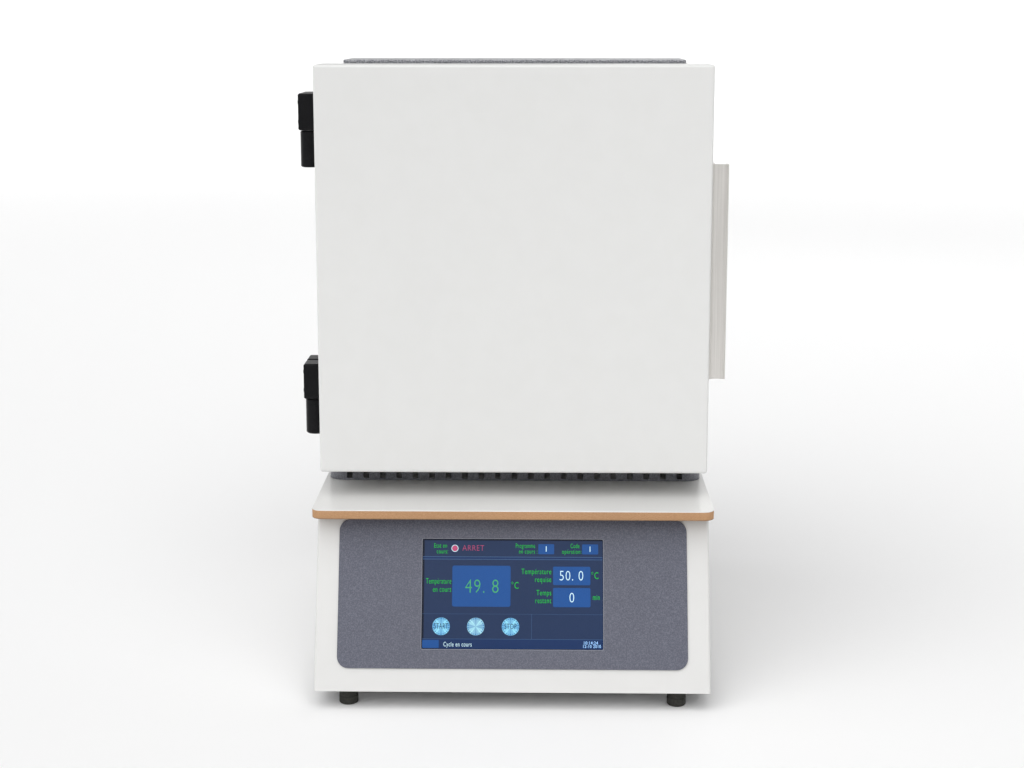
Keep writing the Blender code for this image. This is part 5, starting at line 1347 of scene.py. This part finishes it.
@dataclass
class Door:
    """The door: folded pan, back plate, insulation with its plug, rope seal, handle and strike."""

    shop: Workshop
    corner: float = 0.0022
    bend: float = 0.0024
    sheet: float = 0.0015
    hem: float = 0.0005
    plate_edge: float = 0.0002
    fibre_edge: float = 0.0016
    fitting_edge: float = 0.0003
    screw_inset: float = 0.010
    rope_width: float = 0.0118
    rope_corner: float = 0.010
    rope_step: float = 0.004
    rope_sides: int = 20
    rope_strands: float = 42.0
    grip: Grip = field(default_factory=Grip)
    screws: Screws = field(default_factory=lambda: Screws(radius=0.0030, height=0.0012, depth=0.0008))

    def shell(self) -> None:
        """The pan: rings run from the face round the fold, back along the side, over the hem and in again."""
        low, high = box("door_shell")
        turn = np.linspace(0, QUARTER, 6)
        back = turn[::-1]
        inner_bend = self.bend - self.sheet
        flat = self.bend * 1.3
        insets = [
            [flat],
            self.bend * (1 - np.sin(turn)),
            [0.0, self.hem, self.sheet - self.hem, self.sheet],
            self.sheet + inner_bend * (1 - np.sin(back)),
            [flat],
        ]
        depths = [
            [low[1]],
            low[1] + self.bend * (1 - np.cos(turn)),
            [high[1] - self.hem, high[1], high[1], high[1] - self.hem],
            low[1] + self.sheet + inner_bend * (1 - np.cos(back)),
            [low[1] + self.sheet],
        ]
        flat = inset_outlines((low[0], low[2]), (high[0], high[2]), self.corner, np.concatenate(insets), 6)
        surface = skin(axis_points(flat, np.concatenate(depths), "Y"))
        self.shop.piece("door_pan", surface, WHITE, Body.DOOR, ("door_shell",))

    def seal(self) -> None:
        """A flattened rope: an oval section carried round a rectangle with round corners."""
        low, high = box("door_seal")
        half = self.rope_width / 2
        line = rounded_outline((low[0] + half, low[2] + half), (high[0] - half, high[2] - half), self.rope_corner, 10)
        line = np.concatenate([self.filled(line), line[:1]])
        step = np.roll(line, -1, axis=0) - np.roll(line, 1, axis=0)
        step[0] = step[-1] = line[1] - line[-2]
        outward = np.stack([step[:, 1], -step[:, 0]], axis=1) / np.linalg.norm(step, axis=1, keepdims=True)
        angle = np.linspace(0, math.tau, self.rope_sides, endpoint=False)
        thick = (high[1] - low[1]) / 2
        flat = line[:, None] + half * np.cos(angle)[None, :, None] * outward[:, None]
        depth = (low[1] + high[1]) / 2 + thick * np.sin(angle)
        rings = np.stack([flat[..., 0], np.broadcast_to(depth, flat.shape[:2]), flat[..., 1]], axis=2)
        length = np.concatenate([[0.0], np.cumsum(np.linalg.norm(np.diff(line, axis=0), axis=1))])
        around = np.abs(np.linspace(-1, 1, self.rope_sides)) * half * 2
        uv = np.stack(np.broadcast_arrays(length[:-1, None], around[None, :]), axis=2) * self.rope_strands
        self.shop.piece(
            "door_seal_rope", skin(rings[:-1], looped=True), ROPE, Body.DOOR, ("door_seal",), uv.reshape(-1, 2)
        )

    def handle(self) -> None:
        """The extruded grip: a hollowed front between two beads, a lip for the fingers and a flange."""
        low, high = box("door_handle")
        grip = self.grip
        left, right, front = low[0], high[0], low[1]

        def hollow(start: float, end: float, level: float) -> np.ndarray:
            """A shallow parabola between two sides."""
            share = np.linspace(-1, 1, 17)
            x = (start + end) / 2 + (end - start) / 2 * share
            return np.stack([x, level + grip.hollow * (1 - share * share)], axis=1)

        near, far = left + grip.bead, right - grip.bead
        groove = front + grip.groove
        face = hollow(near + grip.groove, far - grip.groove, front + grip.groove / 2)
        throat = hollow(left + grip.flange, right - grip.lip, front + grip.web)
        outline = np.concatenate([
            [(left, front), (near, front), (near, groove)],
            face,
            [(far, groove), (far, front), (right, front), (right, front + grip.lip_depth)],
            [(right - grip.lip, front + grip.lip_depth)],
            throat[::-1],
            [(left + grip.flange, high[1]), (left, high[1])],
        ])
        rings = axis_points(np.stack([outline, outline]), np.array([low[2], high[2]]), "Z")
        made = self.shop.piece("door_handle_grip", skin(rings), ANODISED, Body.DOOR, ("door_handle",))
        self.shop.round_edges(made, grip.edge, 3)
        y = (front + grip.lip_depth + high[1]) / 2
        reach = (high[2] - low[2]) * grip.screw_share
        middle = (low[2] + high[2]) / 2
        places = [(left + grip.flange, y, middle + step) for step in (-reach, 0.0, reach)]
        self.shop.piece("door_handle_screws", self.screws.heads(places, "X", 1), SCREW, Body.DOOR)

    def filled(self, line: np.ndarray) -> np.ndarray:
        """Adds even points to the straight runs of a closed outline."""
        after = np.roll(line, -1, axis=0)
        runs = np.linalg.norm(after - line, axis=1)
        pieces = [
            start + (end - start) * np.linspace(0, 1, max(1, int(run / self.rope_step)), endpoint=False)[:, None]
            for start, end, run in zip(line, after, runs)
        ]
        return np.concatenate(pieces)

    def fasteners(self) -> None:
        """Screws round the back plate."""
        places = border_places("door_back_plate", self.screw_inset, 4, 4)
        self.shop.piece("door_back_screws", self.screws.heads(places, "Y", 1), SCREW, Body.DOOR)

    def build(self) -> None:
        """Makes the door."""
        self.shell()
        self.shop.soften("door_back_plate", STEEL, self.plate_edge, Body.DOOR)
        self.shop.soften("door_insulation", FIBRE, self.fibre_edge, Body.DOOR, 3)
        self.seal()
        self.fasteners()
        self.handle()
        self.shop.soften("strike_plate", STEEL, self.plate_edge, Body.DOOR)
        self.shop.soften("door_sensor_magnet", PLASTIC, self.fitting_edge, Body.DOOR)
        for node in ("catch_magnet", "door_sensor"):
            self.shop.soften(node, PLASTIC, self.fitting_edge)


@dataclass
class Hinges:
    """Two lift-off hinges."""

    shop: Workshop
    edge: float = 0.0004
    ahead: float = 0.006
    behind: float = 0.005
    door_shares: tuple[float, float] = (0.62, 0.88)
    body_shares: tuple[float, float] = (0.18, 0.82)
    screws: Screws = field(default_factory=lambda: Screws(0.0026, 0.0009, 0.0011, 0.0006))

    def fasteners(self, place: str, leaf: str, body: Body, step: float, shares: tuple[float, float]) -> None:
        """Two screws in a leaf's outer side.

        Args:
            place: "upper" or "lower".
            leaf: "door_leaf" or "body_leaf".
            body: The body that the leaf rides on.
            step: Distance behind the leaf's front, or, if it is negative, ahead of its rear.
            shares: Heights of the screws as shares of the whole hinge's.
        """
        low, high = box(f"hinge_{place}_{leaf}")
        bottom, top = box(f"hinge_{place}_body_leaf")
        y = low[1] + step if step > 0 else high[1] + step
        places = [(low[0], y, bottom[2] + share * (top[2] - bottom[2])) for share in shares]
        self.shop.piece(f"hinge_{place}_{leaf}_screws", self.screws.heads(places, "X", -1), HINGE_SCREW, body)

    def build(self) -> None:
        """Makes the leaves and dresses the pins."""
        for place in ("upper", "lower"):
            self.shop.soften(f"hinge_{place}_door_leaf", HINGE, self.edge, Body.DOOR)
            self.shop.soften(f"hinge_{place}_body_leaf", HINGE, self.edge)
            self.shop.dress(STEEL, f"hinge_{place}_pin")
            self.fasteners(place, "door_leaf", Body.DOOR, self.ahead, self.door_shares)
            self.fasteners(place, "body_leaf", Body.FIXED, -self.behind, self.body_shares)


@dataclass
class RearFittings:
    """Fan, mains inlet and rocker switch at the back of the base."""

    shop: Workshop
    rocker_pivot: tuple[float, float] = (0.2318, 0.0985)
    rocker_tilt: float = math.radians(-8)
    rocker_valley: float = 0.0018
    rocker_rise: float = 0.0024
    rocker_half: float = 0.012
    mark_share: float = 0.55
    mark_raised: float = 0.00006
    mark_half: float = 0.0026
    mark_width: float = 0.0007
    line_half: float = 0.0004
    line_corner: float = 0.0002
    recess: float = 0.020
    pin_pitch: float = 0.006
    pin_row: float = 0.003
    pin_size: Point = (0.007, 0.014, 0.002)
    pin_corner: float = 0.0005
    plating: float = 0.00012
    guard_inset: float = 0.005
    guard_edge: float = 0.00025
    fan_edge: float = 0.0005
    fitting_edge: float = 0.0003
    switch_edge: float = 0.0004
    screws: Screws = field(default_factory=Screws)

    def fan(self) -> None:
        """Fan frame, rotor and the guard with its screws."""
        self.shop.soften("fan_frame", PLASTIC, self.fan_edge)
        self.shop.soften("fan_rotor", PLASTIC, self.fitting_edge, Body.ROTOR)
        self.shop.soften("fan_guard", HAMMERTONE, self.guard_edge)
        corners = border_places("fan_guard", self.guard_inset, 2, 2)
        self.shop.piece("fan_guard_screws", self.screws.heads(corners, "Y", 1), SCREW)

    def contacts(self) -> None:
        """Bright plating on the inlet's three flat pins."""
        low, high = box("mains_inlet")
        root = np.array([(low[0] + high[0]) / 2, high[1] - self.recess, (low[2] + high[2]) / 2])
        half = np.array(self.pin_size) / 2 + self.plating
        pins = []
        for across, up in ((-self.pin_pitch, -self.pin_row), (self.pin_pitch, -self.pin_row), (0.0, self.pin_row)):
            middle = root + (across, self.pin_size[1] / 2, up)
            pins.append(slab(middle - half, middle + half, "Y", self.pin_corner, self.fitting_edge, 4))
        self.shop.piece("inlet_contacts", merged(pins), CONTACT)

    def power(self) -> None:
        """Inlet and switch, with an on line and an off ring on the rocker."""
        self.shop.soften("mains_inlet", PLASTIC, self.fitting_edge)
        self.contacts()
        self.shop.soften("switch_frame", PLASTIC, self.switch_edge)
        self.shop.soften("switch_rocker", PLASTIC, self.switch_edge, Body.ROCKER)
        low, high = box("switch_rocker")
        out = self.rocker_valley + self.rocker_rise * self.mark_share
        up = self.rocker_half * self.mark_share
        slope = math.atan2(self.rocker_rise, self.rocker_half)
        raised = self.mark_raised
        far = np.array([self.line_half, raised, self.mark_half])
        bar = slab(-far, far, "Y", self.line_corner, raised / 4, 4)
        outer, inner = self.mark_half, self.mark_half - self.mark_width
        loop = [(outer, -raised), (outer, raised), (inner, raised), (inner, -raised)]
        ring = turned(loop, (0.0, 0.0, 0.0), "Y", 40, looped=True)
        on = moved(swung(bar, -slope), (0.0, out, up))
        off = moved(swung(ring, slope), (0.0, out, -up))
        marks = moved(swung(merged([on, off]), self.rocker_tilt), ((low[0] + high[0]) / 2, *self.rocker_pivot))
        self.shop.piece("switch_marks", marks, MARKING, Body.ROCKER)

    def build(self) -> None:
        """Makes the fittings."""
        self.fan()
        self.power()


@dataclass
class Studio:
    """Pale floor, soft lights and the camera. A lamp is its name, place, size and power."""

    eye: Point = (0.0291, -1.782, 0.6513)
    pitch: float = math.radians(9.72)
    yaw: float = math.radians(1.0)
    lens: float = 59.9
    shift_y: float = -0.07
    flat: float = 6.0
    sweep: float = 2.2
    wall: float = 2.7
    hub: float = 0.01
    floor_shade: float = 0.9
    floor_roughness: float = 0.7
    surroundings: float = 0.24
    target: Point = (0.0, 0.0, 0.35)
    lamps: tuple[tuple[str, Point, float, float], ...] = (
        ("fill", (1.9, -2.1, 1.3), 1.6, 2.0),
        ("back", (0.9, 2.6, 1.8), 1.6, 5.0),
    )
    sun_power: float = 2.8
    sun_spread: float = math.radians(85)
    sun_height: float = math.radians(58)
    sun_side: float = math.radians(22)

    def floor(self) -> None:
        """A round floor that turns up into a wall all round: a quarter circle joins the two."""
        angle = np.linspace(0, math.tau, 128, endpoint=False)
        turn = np.linspace(0, QUARTER, 24)
        radii = np.concatenate([[self.hub], self.flat + self.sweep * np.sin(turn), [self.flat + self.sweep]])
        heights = np.concatenate([[0.0], self.sweep * (1 - np.cos(turn)), [self.wall]])
        flat = radii[:, None, None] * np.stack([np.cos(angle), np.sin(angle)], axis=1)
        points, faces = skin(axis_points(flat, heights, "Z"))
        faces.pop()
        mesh = bpy.data.meshes.new("floor")
        mesh.from_pydata(points.tolist(), [], faces)
        material = bpy.data.materials.new("studio_floor")
        material.use_nodes = True
        shader = material.node_tree.nodes["Principled BSDF"]
        shader.inputs["Base Color"].default_value = (*(self.floor_shade,) * 3, 1.0)
        shader.inputs["Roughness"].default_value = self.floor_roughness
        mesh.materials.append(material)
        mesh.shade_smooth()
        added("floor", mesh)

    def light(self, name: str, place: Point, size: float, power: float) -> None:
        """A square soft light that faces the furnace."""
        lamp = bpy.data.lights.new(name, "AREA")
        lamp.size = size
        lamp.energy = power
        obj = added(name, lamp)
        aim = np.asarray(self.target) - np.asarray(place)
        flat = math.hypot(aim[0], aim[1])
        obj.location = place
        obj.rotation_euler = (math.atan2(flat, -aim[2]), 0.0, math.atan2(aim[1], aim[0]) - QUARTER)

    def sun(self) -> None:
        """A wide soft light from afar, which lights floor and wall evenly."""
        lamp = bpy.data.lights.new("sun", "SUN")
        lamp.energy = self.sun_power
        lamp.angle = self.sun_spread
        added("sun", lamp).rotation_euler = (QUARTER - self.sun_height, 0.0, -self.sun_side)

    def sky(self) -> None:
        """Even pale surroundings."""
        world = bpy.data.worlds.new("surroundings")
        world.use_nodes = True
        ground = world.node_tree.nodes["Background"]
        ground.inputs["Color"].default_value = (1.0, 1.0, 1.0, 1.0)
        ground.inputs["Strength"].default_value = self.surroundings
        bpy.context.scene.world = world
        bpy.context.scene.view_settings.view_transform = "Standard"

    def camera(self) -> None:
        """The camera at the photograph's viewing angle."""
        data = bpy.data.cameras.new("camera")
        data.lens = self.lens
        data.shift_y = self.shift_y
        obj = added("camera", data)
        obj.location = self.eye
        obj.rotation_euler = (QUARTER - self.pitch, 0.0, self.yaw)
        bpy.context.scene.camera = obj

    def build(self) -> None:
        """Sets the scene up."""
        self.floor()
        self.sun()
        for lamp in self.lamps:
            self.light(*lamp)
        self.sky()
        self.camera()


def main() -> None:
    """Builds the furnace's looks, one sub-assembly after another."""
    logging.basicConfig(level=logging.INFO, format="%(name)s %(message)s")
    for obj in list(bpy.data.objects):
        bpy.data.objects.remove(obj, do_unlink=True)
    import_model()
    shop = Workshop()
    Studio().build()
    for assembly in (
        BaseUnit(shop), ControlPanel(shop), Worktop(shop), ChamberCasing(shop),
        Lining(shop), Door(shop), Hinges(shop), RearFittings(shop),
    ):
        assembly.build()
        LOG.info("%s is done", type(assembly).__name__)


if __name__ == "__main__":
    main()
